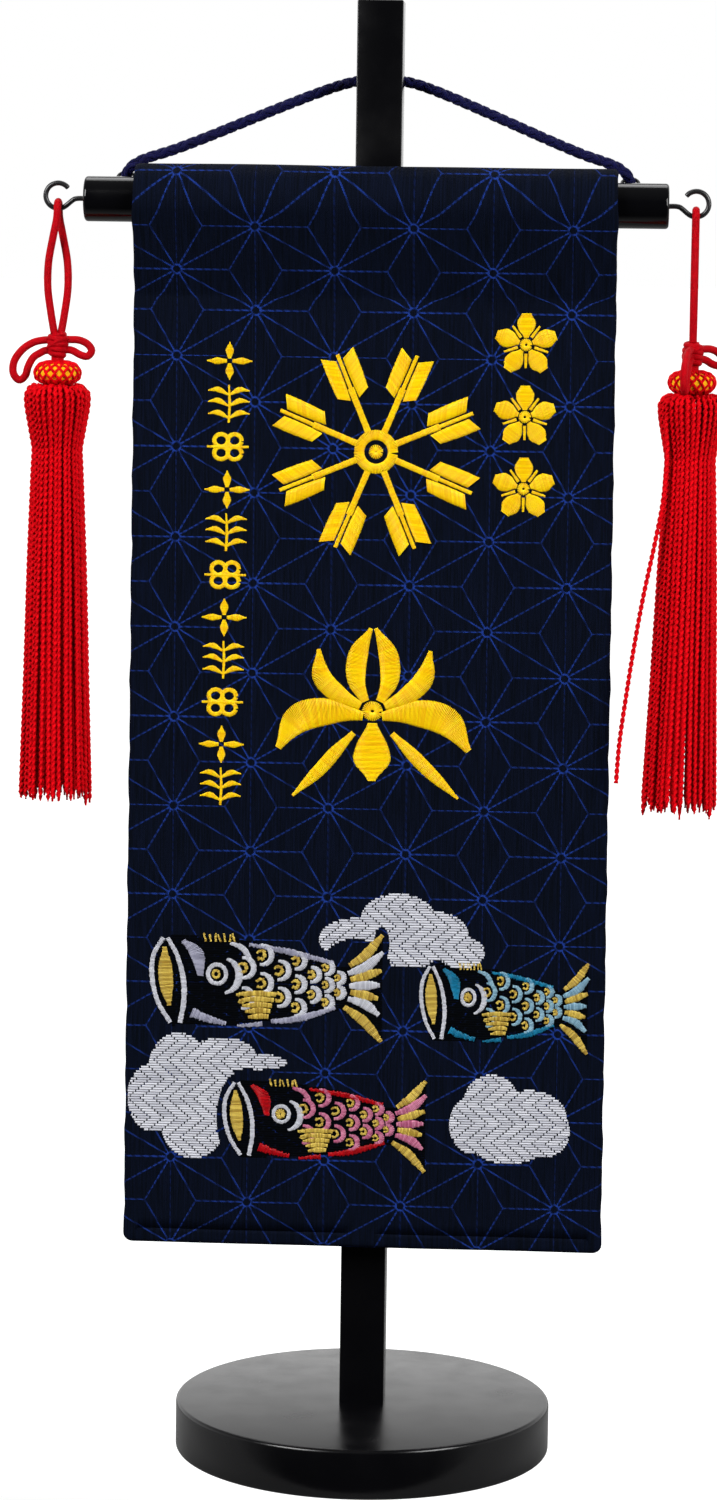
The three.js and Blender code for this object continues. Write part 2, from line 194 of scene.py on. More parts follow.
def new_material(name, colour, roughness, **shader_values):
    """A material whose shader has this colour, roughness and other uniform values."""
    material = bpy.data.materials.new(name)
    material.use_nodes = True
    shader = material.node_tree.nodes["Principled BSDF"]
    shader.inputs["Base Color"].default_value = srgb(colour)
    shader.inputs["Roughness"].default_value = roughness
    for name, value in shader_values.items():
        shader.inputs[name.replace("_", " ")].default_value = value
    return material, material.node_tree, shader


# The card is white to the eye and grey to the lacquer that mirrors it.
floor_paper, tree, shader = new_material("matt_white_card", "#8C8C8C", 0.9, Emission_Color=(1, 1, 1, 1))
seen = add_node(tree, "LightPath").outputs["Is Camera Ray"]
grain = add_node(tree, "TexNoise", {"Scale": 900.0, "Detail": 2.0}).outputs[0]
dress(tree, shader, grain, 0.05, 0.0002, Emission_Strength=seen)
floor.data.materials.append(floor_paper)
print("floor faces", len(floor.data.polygons))

# %% [markdown]
# ## Tubes and braids
# A cord is a tube that follows a route. The helpers below carry a small frame along a
# smooth route without letting it twist, then set a ring of points at each step. A round
# braid is eight flat strands, four winding each way, that dive under one another in
# turn, so it gets real strands, because their bumps show on its outline.


# %% smooth routes and swept strands
def smooth_route(points, step):
    """Points at an even step along a centripetal Catmull-Rom curve through the given ones."""
    p = np.array(points, float)
    p = np.vstack([2 * p[0] - p[1], p, 2 * p[-1] - p[-2]])
    fine = []
    for i in range(1, len(p) - 2):
        knots = [0.0]
        for a, b in zip(p[i - 1 : i + 2], p[i : i + 3]):
            knots.append(knots[-1] + max(np.linalg.norm(b - a), 1e-9) ** 0.5)
        t = np.linspace(knots[1], knots[2], 24, endpoint=False)[:, None]

        def blend(a, b, low, high):
            return a * (high - t) / (high - low) + b * (t - low) / (high - low)

        first = [blend(p[i - 1 + k], p[i + k], knots[k], knots[k + 1]) for k in range(3)]
        second = [blend(first[k], first[k + 1], knots[k], knots[k + 2]) for k in range(2)]
        fine.append(blend(second[0], second[1], knots[1], knots[2]))
    fine = np.vstack([*fine, p[-2:-1]])
    along = distance_along(fine)
    even = np.linspace(0, along[-1], max(3, int(round(along[-1] / step)) + 1))
    return np.stack([np.interp(even, along, fine[:, k]) for k in range(3)], 1)


def distance_along(route):
    return np.r_[0, np.cumsum(np.linalg.norm(np.diff(route, axis=0), axis=1))]


def route_length(route):
    return float(np.linalg.norm(np.diff(route, axis=0), axis=1).sum())


def carried_frames(route):
    """The direction of the route and two directions across it, carried along without twist."""
    ahead = np.gradient(route, axis=0)
    ahead /= np.linalg.norm(ahead, axis=1)[:, None]
    side = np.cross(ahead[0], (0, 0, 1) if abs(ahead[0][2]) < 0.9 else (1, 0, 0))
    sides = []
    for direction in ahead:
        side = side - direction * side.dot(direction)
        side = side / np.linalg.norm(side)
        sides.append(side)
    sides = np.array(sides)
    return ahead, sides, np.cross(ahead, sides)


class Bundle:
    """Gathers the points, faces and pattern coordinates of many strands into one mesh."""

    def __init__(self):
        self.points, self.faces, self.uvs, self.count = [], [], [], 0

    def strand(self, route, across, over, turns=None, sides=6, taper=None, outward=None, waist=1.0):
        """Adds a closed strand of oval section, with half sizes across and over, pinched to its waist."""
        _, side, out = carried_frames(route)
        n = len(route)
        angles = np.arange(sides) * 2 * np.pi / sides
        spin = np.zeros(n) if turns is None else turns
        if outward is not None:
            spin = np.arctan2(-(outward * side).sum(1), (outward * out).sum(1))
        size = np.ones(n) if taper is None else taper
        oval_x = across * np.cos(angles)[None, :] * size[:, None]
        pinch = np.where(np.abs(np.cos(angles)) < 0.1, waist, 1.0)
        oval_y = over * (np.sin(angles) * pinch)[None, :] * size[:, None]
        c, s = np.cos(spin)[:, None], np.sin(spin)[:, None]
        x, y = oval_x * c - oval_y * s, oval_x * s + oval_y * c
        ring = route[:, None, :] + side[:, None, :] * x[..., None] + out[:, None, :] * y[..., None]
        self.points.append(ring.reshape(-1, 3))
        along = distance_along(route)
        first = self.count
        for i in range(n - 1):
            for k in range(sides):
                a, b = first + i * sides + k, first + i * sides + (k + 1) % sides
                self.faces.append((a, b, b + sides, a + sides))
                u, v = k / sides, (k + 1) / sides
                self.uvs += [(u, along[i]), (v, along[i]), (v, along[i + 1]), (u, along[i + 1])]
        last = first + (n - 1) * sides
        self.faces.append(tuple(first + k for k in reversed(range(sides))))
        self.faces.append(tuple(last + k for k in range(sides)))
        self.uvs += [(0.5, 0.0)] * sides + [(0.5, along[-1])] * sides
        self.count += n * sides

    def piece(self, name, material):
        return mesh_piece(name, np.vstack(self.points) * MM, self.faces, material, self.uvs)


def mesh_piece(name, points, faces, material, uvs=None, smooth=True):
    """A new object from points in metres, with its origin at the world's."""
    mesh = bpy.data.meshes.new(name)
    mesh.from_pydata([tuple(p) for p in points], [], faces)
    if uvs is not None:
        layer = mesh.uv_layers.new(name="UVMap")
        layer.data.foreach_set("uv", np.array(uvs, "f").ravel())
    mesh.polygons.foreach_set("use_smooth", [smooth] * len(mesh.polygons))
    mesh.materials.append(material)
    made = bpy.data.objects.new(name, mesh)
    scene.collection.objects.link(made)
    return made


def make_active(made):
    bpy.ops.object.select_all(action="DESELECT")
    made.select_set(True)
    bpy.context.view_layer.objects.active = made


def edit_all(made, *steps):
    """Runs mesh steps in edit mode on the whole piece."""
    make_active(made)
    bpy.ops.object.mode_set(mode="EDIT")
    bpy.ops.mesh.select_all(action="SELECT")
    for step in steps:
        step()
    bpy.ops.object.mode_set(mode="OBJECT")


def face_outwards():
    bpy.ops.mesh.normals_make_consistent(inside=False)


def belongs(made, body, slot, *nodes):
    """Says what the piece rides on and which CAD nodes it stands for; slot, what it is made of, is not
    used.
    """
    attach(made, body)
    if nodes:
        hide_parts(*nodes)
    print(made.name, "faces", len(made.data.polygons))
    return made


print("strand helpers ready")

# %% [markdown]
# The hanging cord is a navy polyester braid of eight strands. Filament polyester has a
# soft sheen, and it looks violet where the light skims it. The strands' own plies are
# too fine to show, so the bump lays them at 0.45 mm.


# %% braid material and braid
def fibre_material(name, colour, dark, ply, roughness, sheen, tint):
    """Thread or cord: plies that run along the strand at a real pitch, in metres, a soft sheen, and
    painted shade in the grooves between plies, broken by a random tone.
    """
    material, tree, shader = new_material(
        name,
        colour,
        roughness,
        Sheen_Weight=sheen,
        Sheen_Roughness=0.4,
        Sheen_Tint=srgb(tint),
        Specular_IOR_Level=0.05,
    )
    place = add_node(tree, "TexCoord").outputs
    slant = add_node(tree, "Mapping", {0: place["UV"], "Scale": (3.0, 1 / ply, 1.0)}).outputs[0]
    plies = wave(tree, slant, 0.32, 0.6, "DIAGONAL")
    blotch = noise(tree, place["Object"], 420.0, 3.0)
    # Painted shade: the colour darkens where the ply wave dips into the grooves, mixed with a random
    # blotchy tone.
    painted_ply_shade_and_tone = ramp(tree, calc(tree, "MULTIPLY", plies, blotch), 0.05, 0.55, 0.0, 1.0)
    tones = mix(tree, painted_ply_shade_and_tone, srgb(dark), srgb(colour))
    dress(tree, shader, plies, 0.5, 0.00012, Base_Color=tones)
    return material


navy_braid = fibre_material("braided_navy_polyester", "#14154A", "#07071E", 0.00045, 0.5, 0.08, "#7A70D8")
STRAND_WIDE, STRAND_THICK, BRAID_CORE = 0.25, 0.14, 0.36  # half sizes, as shares of the cord's diameter


def braid(name, route, diameter, bump, material):
    """Eight strands round a core, four winding each way, each passing over one and under the next."""
    bundle = Bundle()
    _, side, out = carried_frames(route)
    along = distance_along(route)
    lay = 4 * bump
    wide, thick, core = (diameter * share for share in (STRAND_WIDE, STRAND_THICK, BRAID_CORE))
    for way in (1, -1):
        for k in range(4):
            angle = way * 2 * np.pi * along / lay + k * np.pi / 2
            dive = np.cos(4 * angle * way / 2 + (0 if way > 0 else np.pi) + k * np.pi)
            radius = diameter / 2 - thick - thick * 0.4 * (1 - dive)
            outward = side * np.cos(angle)[:, None] + out * np.sin(angle)[:, None]
            bundle.strand(route + outward * radius[:, None], wide, thick, outward=outward)
    bundle.strand(route, core, core, sides=10)
    return bundle.piece(name, material)


CORD_DIAMETER, BRAID_BUMP = 4.4, 4.2
CORD_HALF = [
    (-98.5, -12.0, 510.3), (-98.5, -13.6, 512.2), (-97.6, -14.9, 514.8), (-94.6, -14.4, 517.7),
    (-89.5, -12.9, 520.0), (-81.0, -11.0, 522.8), (-68.0, -7.1, 528.0), (-54.0, -2.8, 534.0),
    (-40.0, 1.5, 540.0), (-26.0, 6.5, 545.8), (-15.0, 10.3, 549.8), (-7.0, 12.2, 551.6),
]
cord_points = CORD_HALF + [(0, 12.4, 552)] + [(-x, y, z) for x, y, z in reversed(CORD_HALF)]
cord_route = smooth_route(cord_points, 0.55)
hanging_cord = braid("braided_cord", cord_route, CORD_DIAMETER, BRAID_BUMP, navy_braid)
belongs(hanging_cord, "hanger", "navy_braid", "hanging_cord")
print("cord length mm", round(route_length(cord_route), 1))

# %% [markdown]
# Each end of the cord is passed down through its screw eye and tied. A tied end is the
# cord itself wound on itself, so it is the same braid, one and a half turns round, with
# a short tail.

# %% tied ends
EYE_X, ROD_Y, ROD_Z = 98.5, -23.5, 503.6
EYE_TILT, END_DIAMETER, END_COIL = math.radians(50), 3.7, 1.85
down_through = np.array([0, math.cos(EYE_TILT), -math.sin(EYE_TILT)])
across_knot = np.array([1.0, 0, 0])
third = np.cross(down_through, across_knot)
for label, side in (("left", -1), ("right", 1)):
    low, high = (np.array(c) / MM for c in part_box("cord_knot_" + label))
    centre = (low + high) / 2
    turnings = np.linspace(0, 1.55 * 2 * np.pi, 26)
    wound = [
        centre
        + across_knot * END_COIL * math.cos(a) * side
        + third * END_COIL * math.sin(a)
        + down_through * (-1.7 + 2.7 * a / turnings[-1])
        for a in turnings
    ]
    tail = [wound[-1] + down_through * d + third * (-0.5 * d) for d in (1.5, 3.0)]
    knot = braid("tied_end_" + label, smooth_route(wound + tail, 0.5), END_DIAMETER, 3.4, navy_braid)
    belongs(knot, "hanger", "navy_braid", "cord_knot_" + label)

# %% [markdown]
# ## Tassel loops and bows
# Each tassel hangs on a loop of smooth red rayon cord, 3 mm thick. The loop goes up
# from the knot, over the hook's wire and down again. Below, the ends come out of the
# knot as two bow loops. A soft, close-braided cord shows no strands at this size, so a
# plain swept tube with a fine bump is the right model.

# %% red cord
red_cord = fibre_material("braided_red_rayon", "#BC000F", "#94000A", 0.0005, 0.5, 0.05, "#FF2020")
# Half the gap between the legs, share of the loop's twist, and height above the hook's wire.
CORD_LEG = [
    (2.6, 0.05, -3.5), (3.1, 0.4, -11), (3.9, 0.8, -21), (3.9, 1, -31),
    (2.6, 1, -41), (1.6, 1, -46.9), (1.3, 1, -48.4),
]
# Distance out from the tassel's axis, and height above the hook's wire.
LONG_BOW = [
    (4.9, -51.2), (9.5, -52.2), (14.0, -55.2), (17.2, -60.0), (17.3, -64.6), (15.0, -67.0),
    (12.7, -65.2), (11.6, -61.7), (9.5, -58.0), (6.9, -56.3), (4.9, -55.3),
]
SHORT_BOW = [
    (4.9, -50.9), (8.2, -51.0), (11.6, -52.4), (13.4, -55.0), (11.8, -57.3), (8.8, -56.7),
    (6.6, -55.5), (4.9, -54.9),
]
# Side, twist of the loop in degrees, and headings of the long and the short bow.
TASSELS = {"left": (-1, 80, 180, 0), "right": (1, 0, 258, 30)}
HOOK_X, WIRE_Z = 124.0, 499.7
RED_CORD, HOOK_WIRE, INSIDE_KNOT = 3.0, 2.0, 2.6
SADDLE = HOOK_WIRE / 2 + RED_CORD / 2 + 0.05


def tassel_origin(side):
    return np.array([side * HOOK_X, ROD_Y, WIRE_Z])


def cord_piece(name, points, body, node):
    """A smooth red cord through points in mm."""
    route = smooth_route(points, 0.7)
    bundle = Bundle()
    bundle.strand(route, RED_CORD / 2, RED_CORD / 2, sides=14)
    made = bundle.piece(name, red_cord)
    belongs(made, body, "red_silk", node)
    print(name, "length mm", round(route_length(route), 1))


def loop_leg(twist, front):
    leg = []
    for half, share, z in CORD_LEG:
        a = math.radians(twist) * share
        leg.append((-front * half * math.sin(a), -front * half * math.cos(a), z))
    return leg


over_wire = [(0, SADDLE * math.cos(a), SADDLE * math.sin(a)) for a in np.linspace(math.pi, 0, 7)]
for label, (side, twist, long_heading, short_heading) in TASSELS.items():
    origin = tassel_origin(side)
    loop = np.array(loop_leg(twist, 1)[::-1] + over_wire + loop_leg(twist, -1))
    cord_piece("hanging_loop_" + label, origin + loop, "loop_" + label, "tassel_loop_" + label)
    for kind, bow, heading in (("long", LONG_BOW, long_heading), ("short", SHORT_BOW, short_heading)):
        a = math.radians(heading)
        ends = [(INSIDE_KNOT, bow[0][1]), *bow, (INSIDE_KNOT, bow[-1][1])]
        reached = np.array([(out * math.cos(a), out * math.sin(a), z) for out, z in ends])
        node = f"tassel_bow_{kind}_{label}"
        cord_piece(f"bow_{kind}_{label}", origin + reached, "tassel_" + label, node)

# %% [markdown]
# ## Stand
# The foot and post are hardwood under sprayed black urethane lacquer, rubbed to a satin
# gloss. A face seen straight on stays black and a face seen at a low angle turns grey.
# Bare lacquer has an IOR near 1.5, and rubbing scatters part of the mirror, so the value
# is set lower. Spray leaves a faint ripple, called orange peel, about 1.5 mm across, and
# handling rubs the gloss unevenly.


# %% lacquer
def lacquer(name, colour, roughness, peel_strength, ior):
    """Sprayed lacquer over wood: faint ripple about 1.5 mm across and uneven gloss."""
    material, tree, shader = new_material(name, colour, roughness, IOR=ior)
    place = add_node(tree, "TexCoord").outputs["Object"]
    rubbed = ramp(tree, noise(tree, place, 60.0, 5.0), 0.35, 0.7, roughness - 0.03, roughness + 0.06)
    film = mix(tree, noise(tree, place, 25.0, 4.0), srgb(colour), srgb("#060608"))
    peel = noise(tree, place, 650.0, 1.0)
    dress(tree, shader, peel, peel_strength, 0.0001, Roughness=rubbed, Base_Color=film)
    return material


satin_lacquer = lacquer("sprayed_black_lacquer_satin", "#030304", 0.22, 0.12, 1.36)
gloss_lacquer = lacquer("sprayed_black_lacquer_gloss", "#030304", 0.10, 0.08, 1.3)
black_wire, tree, shader = new_material("black_coated_steel_wire", "#101012", 0.36, IOR=1.5)
pits = noise(tree, add_node(tree, "TexCoord").outputs["Object"], 1800.0, 2.0)
dress(tree, shader, pits, 0.2, 0.0001)
zinc, tree, shader = new_material("zinc_plated_turned_steel", "#C6C9CC", 0.3, Metallic=1.0)
turned = noise(tree, add_node(tree, "TexCoord").outputs["Object"], 900.0, 4.0)
tree.links.new(ramp(tree, turned, 0.3, 0.7, 0.22, 0.42), shader.inputs["Roughness"])
print("hard finishes 4")


# %% [markdown]
# The foot is a turned disc, so it starts as a cylinder. Its two rims are rounded by a
# bevel in edit mode, and the hole for the screw is cut by insetting both flat faces,
# sinking the lower one for the screw's head, and bridging them through the wood.


# %% edit helpers
def start_editing(made, name):
    made.name = name
    bpy.ops.object.mode_set(mode="EDIT")


def pick(made, kind, wanted):
    """Selects, in edit mode, the faces or edges that a test picks by their place."""
    bpy.ops.mesh.select_mode(type={"faces": "FACE", "edges": "EDGE"}[kind])
    bpy.ops.mesh.select_all(action="DESELECT")
    bpy.ops.object.mode_set(mode="OBJECT")
    mesh, count = made.data, 0
    for item in mesh.polygons if kind == "faces" else mesh.edges:
        if kind == "edges":
            item.select = bool(wanted(*(mesh.vertices[v].co for v in item.vertices)))
        else:
            item.select = bool(wanted(item.center, item.normal))
        count += item.select
    bpy.ops.object.mode_set(mode="EDIT")
    return count


def push(x=0, y=0, z=0):
    bpy.ops.mesh.extrude_region_move(TRANSFORM_OT_translate={"value": (x, y, z)})


def finish_piece(made, material, body, slot, *nodes, angle=35):
    """Places the mesh, shades it, and says what it rides on and stands for."""
    if bpy.context.mode != "OBJECT":
        bpy.ops.object.mode_set(mode="OBJECT")
    make_active(made)
    bpy.ops.object.transform_apply(location=True, rotation=True, scale=True)
    bpy.ops.object.shade_smooth_by_angle(angle=math.radians(angle))
    made.data.materials.clear()
    made.data.materials.append(material)
    return belongs(made, body, slot, *nodes)


# %% foot
bpy.ops.object.select_all(action="DESELECT")
FOOT_RADIUS, FOOT_HEIGHT, FOOT_ROUNDING = 0.076, 0.020, 0.0015
SCREW_HEAD, SCREW_HOLE, HEAD_DEPTH, HEAD_SLOPE = 0.0053, 0.0028, 0.0013, 0.003
bpy.ops.mesh.primitive_cylinder_add(
    vertices=144, radius=FOOT_RADIUS, depth=FOOT_HEIGHT, location=(0, 0, FOOT_HEIGHT / 2)
)
foot = bpy.context.object
bpy.ops.object.transform_apply(location=True)
start_editing(foot, "foot")
pick(foot, "edges", lambda a, b: abs(a.z - b.z) < 1e-6)
bpy.ops.mesh.bevel(offset=FOOT_ROUNDING, segments=4, profile=0.5)
pick(foot, "faces", lambda c, n: n.z > 0.99)
bpy.ops.mesh.inset(thickness=FOOT_RADIUS - FOOT_ROUNDING - SCREW_HOLE)
pick(foot, "faces", lambda c, n: n.z < -0.99)
bpy.ops.mesh.inset(thickness=FOOT_RADIUS - FOOT_ROUNDING - SCREW_HEAD)
push(z=HEAD_DEPTH)
push(z=HEAD_SLOPE)
narrow = SCREW_HOLE / SCREW_HEAD
bpy.ops.transform.resize(value=(narrow, narrow, 1), center_override=(0, 0, 0))
in_hole = lambda c, n: abs(n.z) > 0.99 and math.hypot(c.x, c.y) < 0.0005 and c.z > HEAD_SLOPE + 0.001
found = pick(foot, "faces", in_hole)
bpy.ops.mesh.bridge_edge_loops()
finish_piece(foot, satin_lacquer, "stand", "black_lacquer_wood", "base_disc", angle=40)
print("bridged faces", found)

# %% [markdown]
# The post is a planed square bar. Its long edges are just broken with sandpaper, and
# lacquer thins on them, so a 0.6 mm bevel catches a fine line of light.

# %% post
bpy.ops.object.select_all(action="DESELECT")
POST_SIDE, POST_HEIGHT, EDGE_BREAK = 0.018, 0.562, 0.0006
BORE_WALL, BORE_DEPTH = 0.0061, 0.0265
bpy.ops.mesh.primitive_cube_add(size=1, location=(0, 0, FOOT_HEIGHT + POST_HEIGHT / 2))
post = bpy.context.object
post.scale = (POST_SIDE, POST_SIDE, POST_HEIGHT)
bpy.ops.object.transform_apply(location=True, scale=True)
start_editing(post, "post_bar")
pick(post, "edges", lambda a, b: a.z + b.z > FOOT_HEIGHT * 2 + 0.001)
bpy.ops.mesh.bevel(offset=EDGE_BREAK, segments=3, profile=0.5)
pick(post, "faces", lambda c, n: n.z < -0.99)
bpy.ops.mesh.inset(thickness=BORE_WALL)
push(z=BORE_DEPTH)
finish_piece(post, satin_lacquer, "stand", "black_lacquer_wood", "post", angle=25)

# %% [markdown]
# The crossbar is a turned dowel with a glossier coat. It is a cylinder lying along X,
# with its end rims rounded, and a bore sunk in each end for the hook's shank.

# %% crossbar
bpy.ops.object.select_all(action="DESELECT")
ROD_RADIUS, ROD_HALF, RIM, HOOK_BORE, HOOK_BORE_DEPTH = 0.00875, 0.1135, 0.0013, 0.0013, 0.0123
bpy.ops.mesh.primitive_cylinder_add(
    vertices=96,
    radius=ROD_RADIUS,
    depth=2 * ROD_HALF,
    location=(0, ROD_Y * MM, ROD_Z * MM),
    rotation=(0, math.pi / 2, 0),
)
crossbar = bpy.context.object
bpy.ops.object.transform_apply(location=True, rotation=True)
start_editing(crossbar, "crossbar")
pick(crossbar, "edges", lambda a, b: abs(a.x - b.x) < 1e-6)
bpy.ops.mesh.bevel(offset=RIM, segments=4, profile=0.5)
for end in (1, -1):
    pick(crossbar, "faces", lambda c, n: n.x * end > 0.99)
    bpy.ops.mesh.inset(thickness=ROD_RADIUS - RIM - HOOK_BORE)
    push(x=-end * HOOK_BORE_DEPTH)
finish_piece(crossbar, gloss_lacquer, "hanger", "black_gloss_rod", "rod", angle=40)

# %% screw
screw = bpy.data.objects["base_screw"].data.materials
screw.clear()
screw.append(zinc)
print("screw has", screw[0].name)

# %% [markdown]
# Hooks and eyes are bent from steel wire and coated black. Each is drawn as the line
# that the wire follows, given the wire's thickness, and then turned into a mesh. The
# wire's cut ends are slightly rounded.


# %% wire
def wire(name, points, diameter, body, node):
    """A bent wire along points in mm, as a mesh with slightly rounded ends."""
    route = smooth_route(points, 0.35)
    line = bpy.data.curves.new(name, "CURVE")
    line.dimensions = "3D"
    line.bevel_depth = diameter / 2 * MM
    line.bevel_resolution = 4
    line.use_fill_caps = True
    spline = line.splines.new("POLY")
    spline.points.add(len(route) - 1)
    for i, p in enumerate(route):
        spline.points[i].co = (*(p * MM), 1)
        spline.points[i].radius = 0.72 if i in (0, len(route) - 1) else 1.0
    made = bpy.data.objects.new(name, line)
    scene.collection.objects.link(made)
    make_active(made)
    bpy.ops.object.convert(target="MESH")
    edit_all(made, lambda: bpy.ops.mesh.remove_doubles(threshold=1e-6), face_outwards)
    finish_piece(made, black_wire, body, "black_steel_wire", node, angle=50)


# The back hook lies under the cord: a shank from the post, a square bend, and a short upright.
CORD_BACK, HOOK_LEVEL, HOOK_BEND, BACK_WIRE, TOUCH = 12.4, 548.25, 2.5, 2.5, 0.3
upright = CORD_BACK + CORD_DIAMETER / 2 + TOUCH + BACK_WIRE / 2
middle = upright - HOOK_BEND
quarter = np.radians(np.linspace(-90, 0, 6))
bend = [(middle + HOOK_BEND * math.cos(a), HOOK_BEND + HOOK_BEND * math.sin(a)) for a in quarter]
hook_line = [(-3.0, 0), ((-3 + middle) / 2, 0), *bend, (upright, 7.5)]
hook_points = [(0, y, HOOK_LEVEL + z) for y, z in hook_line]
wire("back_wire_hook", hook_points, BACK_WIRE, "stand", "back_hook")

# A screw hook is an open ring, a neck that leads back to the rod's axis, and a shank in the rod.
RING, RISE, RING_REACH, SHANK = 4.9, 1, 10.5, 12
for label, side in (("left", -1), ("right", 1)):
    loop = [(RING * math.cos(a), RING * math.sin(a)) for a in np.radians(np.linspace(37, 310, 19))]
    last_in, last_up = loop[-1]
    meet = last_in + (-RISE - last_up) / math.tan(math.radians(40))
    neck = [
        (last_in + (meet - last_in) * 0.55, last_up + (-RISE - last_up) * 0.55),
        (meet - 0.25, -1.35),
        (meet + 1.1, -RISE),
    ]
    inside = RING_REACH + SHANK - meet - 1.1
    shank = [(meet + 1.1 + inside * share, -RISE) for share in (0.25, 0.5, 1)]
    flat_line = [*loop, *neck, *shank]
    line = [(side * (HOOK_X - inwards), ROD_Y, ROD_Z + RISE + rise) for inwards, rise in flat_line]
    wire("screw_hook_wire_" + label, line, HOOK_WIRE, "hanger", "screw_hook_" + label)

# %% screw eyes
EYE_RING, EYE_WIRE, ROD_SURFACE = 3.3, 1.4, ROD_RADIUS / MM
eye_line = np.array([0, math.sin(EYE_TILT), math.cos(EYE_TILT)])
eye_off = ROD_SURFACE + TOUCH + EYE_RING + EYE_WIRE / 2
for label, side in (("left", -1), ("right", 1)):
    base = np.array([side * EYE_X, ROD_Y, ROD_Z])
    ring = []
    for a in np.linspace(0.05, 2 * math.pi - 0.16, 30):
        along = eye_line * (eye_off - EYE_RING * math.cos(a))
        ring.append(base + along + np.array([EYE_RING * math.sin(a), 0, 0]))
    shank = [base + eye_line * (ROD_SURFACE + d) for d in (-7, -3, 0.15)]
    wire("screw_eye_wire_" + label, [*shank, *ring], EYE_WIRE, "hanger", "screw_eye_" + label)

# %% [markdown]
# ## Banner cloth
# The banner is three layers: a brocade front, a soft felt in the middle and a plain
# lining. They go down the front, and at the top they wrap round the crossbar as a
# sleeve that is sewn shut behind. The brocade is turned over the felt at the sides and
# the hem, and that is why the edges look round and slightly wavy. Every layer is laid
# along one line, the inner face of the cloth, at its own depth from it, so no layer can
# cut through its neighbour.

# %% the line that the cloth follows
BANNER_DROP = 415
HEM_Z = ROD_Z - BANNER_DROP
CLOTH, SLEEVE_RADIUS, SLEEVE_DEPTH, SLEEVE_BEND, SLEEVE_TAIL = 4.5, 9.5, 38, 12, 7
TOP_WIDTH, TOP_Z, WIDENING = 187.5, 14.0, 4.0


def sleeve_lean(across):
    reach = math.hypot(across, SLEEVE_DEPTH)
    return math.atan2(SLEEVE_DEPTH, across) - math.acos((SLEEVE_BEND + SLEEVE_RADIUS) / reach)


def cloth_line():
    """Rows of y, z and outward direction, from the hem up the panel, round the bar to the seam."""
    back, tail_face = CLOTH / 2, CLOTH / 2 + TOUCH
    front_lean, rear_lean = sleeve_lean(SLEEVE_BEND - back), sleeve_lean(SLEEVE_BEND + tail_face)
    rows = [(back, HEM_Z - ROD_Z, math.pi)]
    for turn in np.linspace(0, front_lean, 9):
        y = back - SLEEVE_BEND + SLEEVE_BEND * math.cos(turn)
        rows.append((y, -SLEEVE_DEPTH + SLEEVE_BEND * math.sin(turn), math.pi + turn))
    for turn in np.linspace(math.pi + front_lean, -rear_lean, 61):
        rows.append((SLEEVE_RADIUS * math.cos(turn), SLEEVE_RADIUS * math.sin(turn), turn))
    for turn in np.linspace(rear_lean, 0, 9):
        y = tail_face + SLEEVE_BEND - SLEEVE_BEND * math.cos(turn)
        rows.append((y, -SLEEVE_DEPTH + SLEEVE_BEND * math.sin(turn), -turn))
    rows.append((tail_face, -SLEEVE_DEPTH - SLEEVE_TAIL, 0.0))
    return np.array(rows)


line = cloth_line()
line_s = np.r_[0, np.cumsum(np.hypot(np.diff(line[:, 0]), np.diff(line[:, 1])))]
CLOTH_LENGTH, PANEL_LENGTH = line_s[-1], BANNER_DROP - SLEEVE_DEPTH
print("cloth from hem to seam mm", round(CLOTH_LENGTH, 1))


def ripple(x, s):
    """How far the padded cloth swells or sinks, in mm, as slow uneven waves."""
    wave = 0.30 * np.sin(0.047 * x + 0.9) * np.sin(0.023 * s + 0.4)
    wave = wave + 0.22 * np.sin(0.083 * x - 0.031 * s) + 0.12 * np.sin(0.11 * s + 0.02 * x)
    return wave * np.where(s > PANEL_LENGTH, 0.3, 1.0)


def banner_half(s):
    """Half the panel's width: it widens slowly towards the hem."""
    z = np.interp(s, line_s, line[:, 1])
    return (TOP_WIDTH + WIDENING * (TOP_Z - z) / (TOP_Z + BANNER_DROP)) / 2


def edge_wave(s):
    return 0.16 * np.sin(0.31 * s) + 0.14 * np.sin(0.17 * s + 1.1) + 0.08 * np.sin(0.55 * s + 2.0)


def cloth_points(x, s, depth):
    """Places flat cloth coordinates, in mm, in the part's frame, in metres."""
    x, s, depth = (np.asarray(v, float) for v in (x, s, depth))
    y, z, angle = (np.interp(s, line_s, line[:, k]) for k in range(3))
    past_hem = np.minimum(s, 0)
    depth = depth + ripple(x, s)
    near_edge = np.clip((np.abs(x) - banner_half(s) + 6) / 6, 0, 1.2)
    x = x + np.sign(x) * near_edge * edge_wave(s)
    y = ROD_Y + y + np.cos(angle) * depth
    z = ROD_Z + z + past_hem + np.sin(angle) * depth
    return np.stack([x * MM, y * MM, z * MM], -1)


# %% one layer of the banner
EDGE_STRIP = 6.0
UV_WIDTH, UV_HEIGHT, UV_LOW = 250, 600, 30  # mm of cloth that the pattern's square covers


def layer_outline(inset, corner, rows, across):
    """Round the cut edge from the top left: outward direction, height and place across, in mm."""
    low = banner_half(0) - inset
    arc = [(math.cos(a), math.sin(a)) for a in np.radians(np.linspace(0, 90, 6))]
    outline = [(-1, 0, s, -(banner_half(s) - inset)) for s in rows[::-1]]
    outline += [(-c, -n, inset + corner * (1 - n), -(low - corner * (1 - c))) for c, n in arc]
    outline += [(0, -1, inset, t * (low - EDGE_STRIP)) for t in across]
    outline += [(n, -c, inset + corner * (1 - c), low - corner * (1 - n)) for c, n in arc]
    return outline + [(1, 0, s, banner_half(s) - inset) for s in rows]


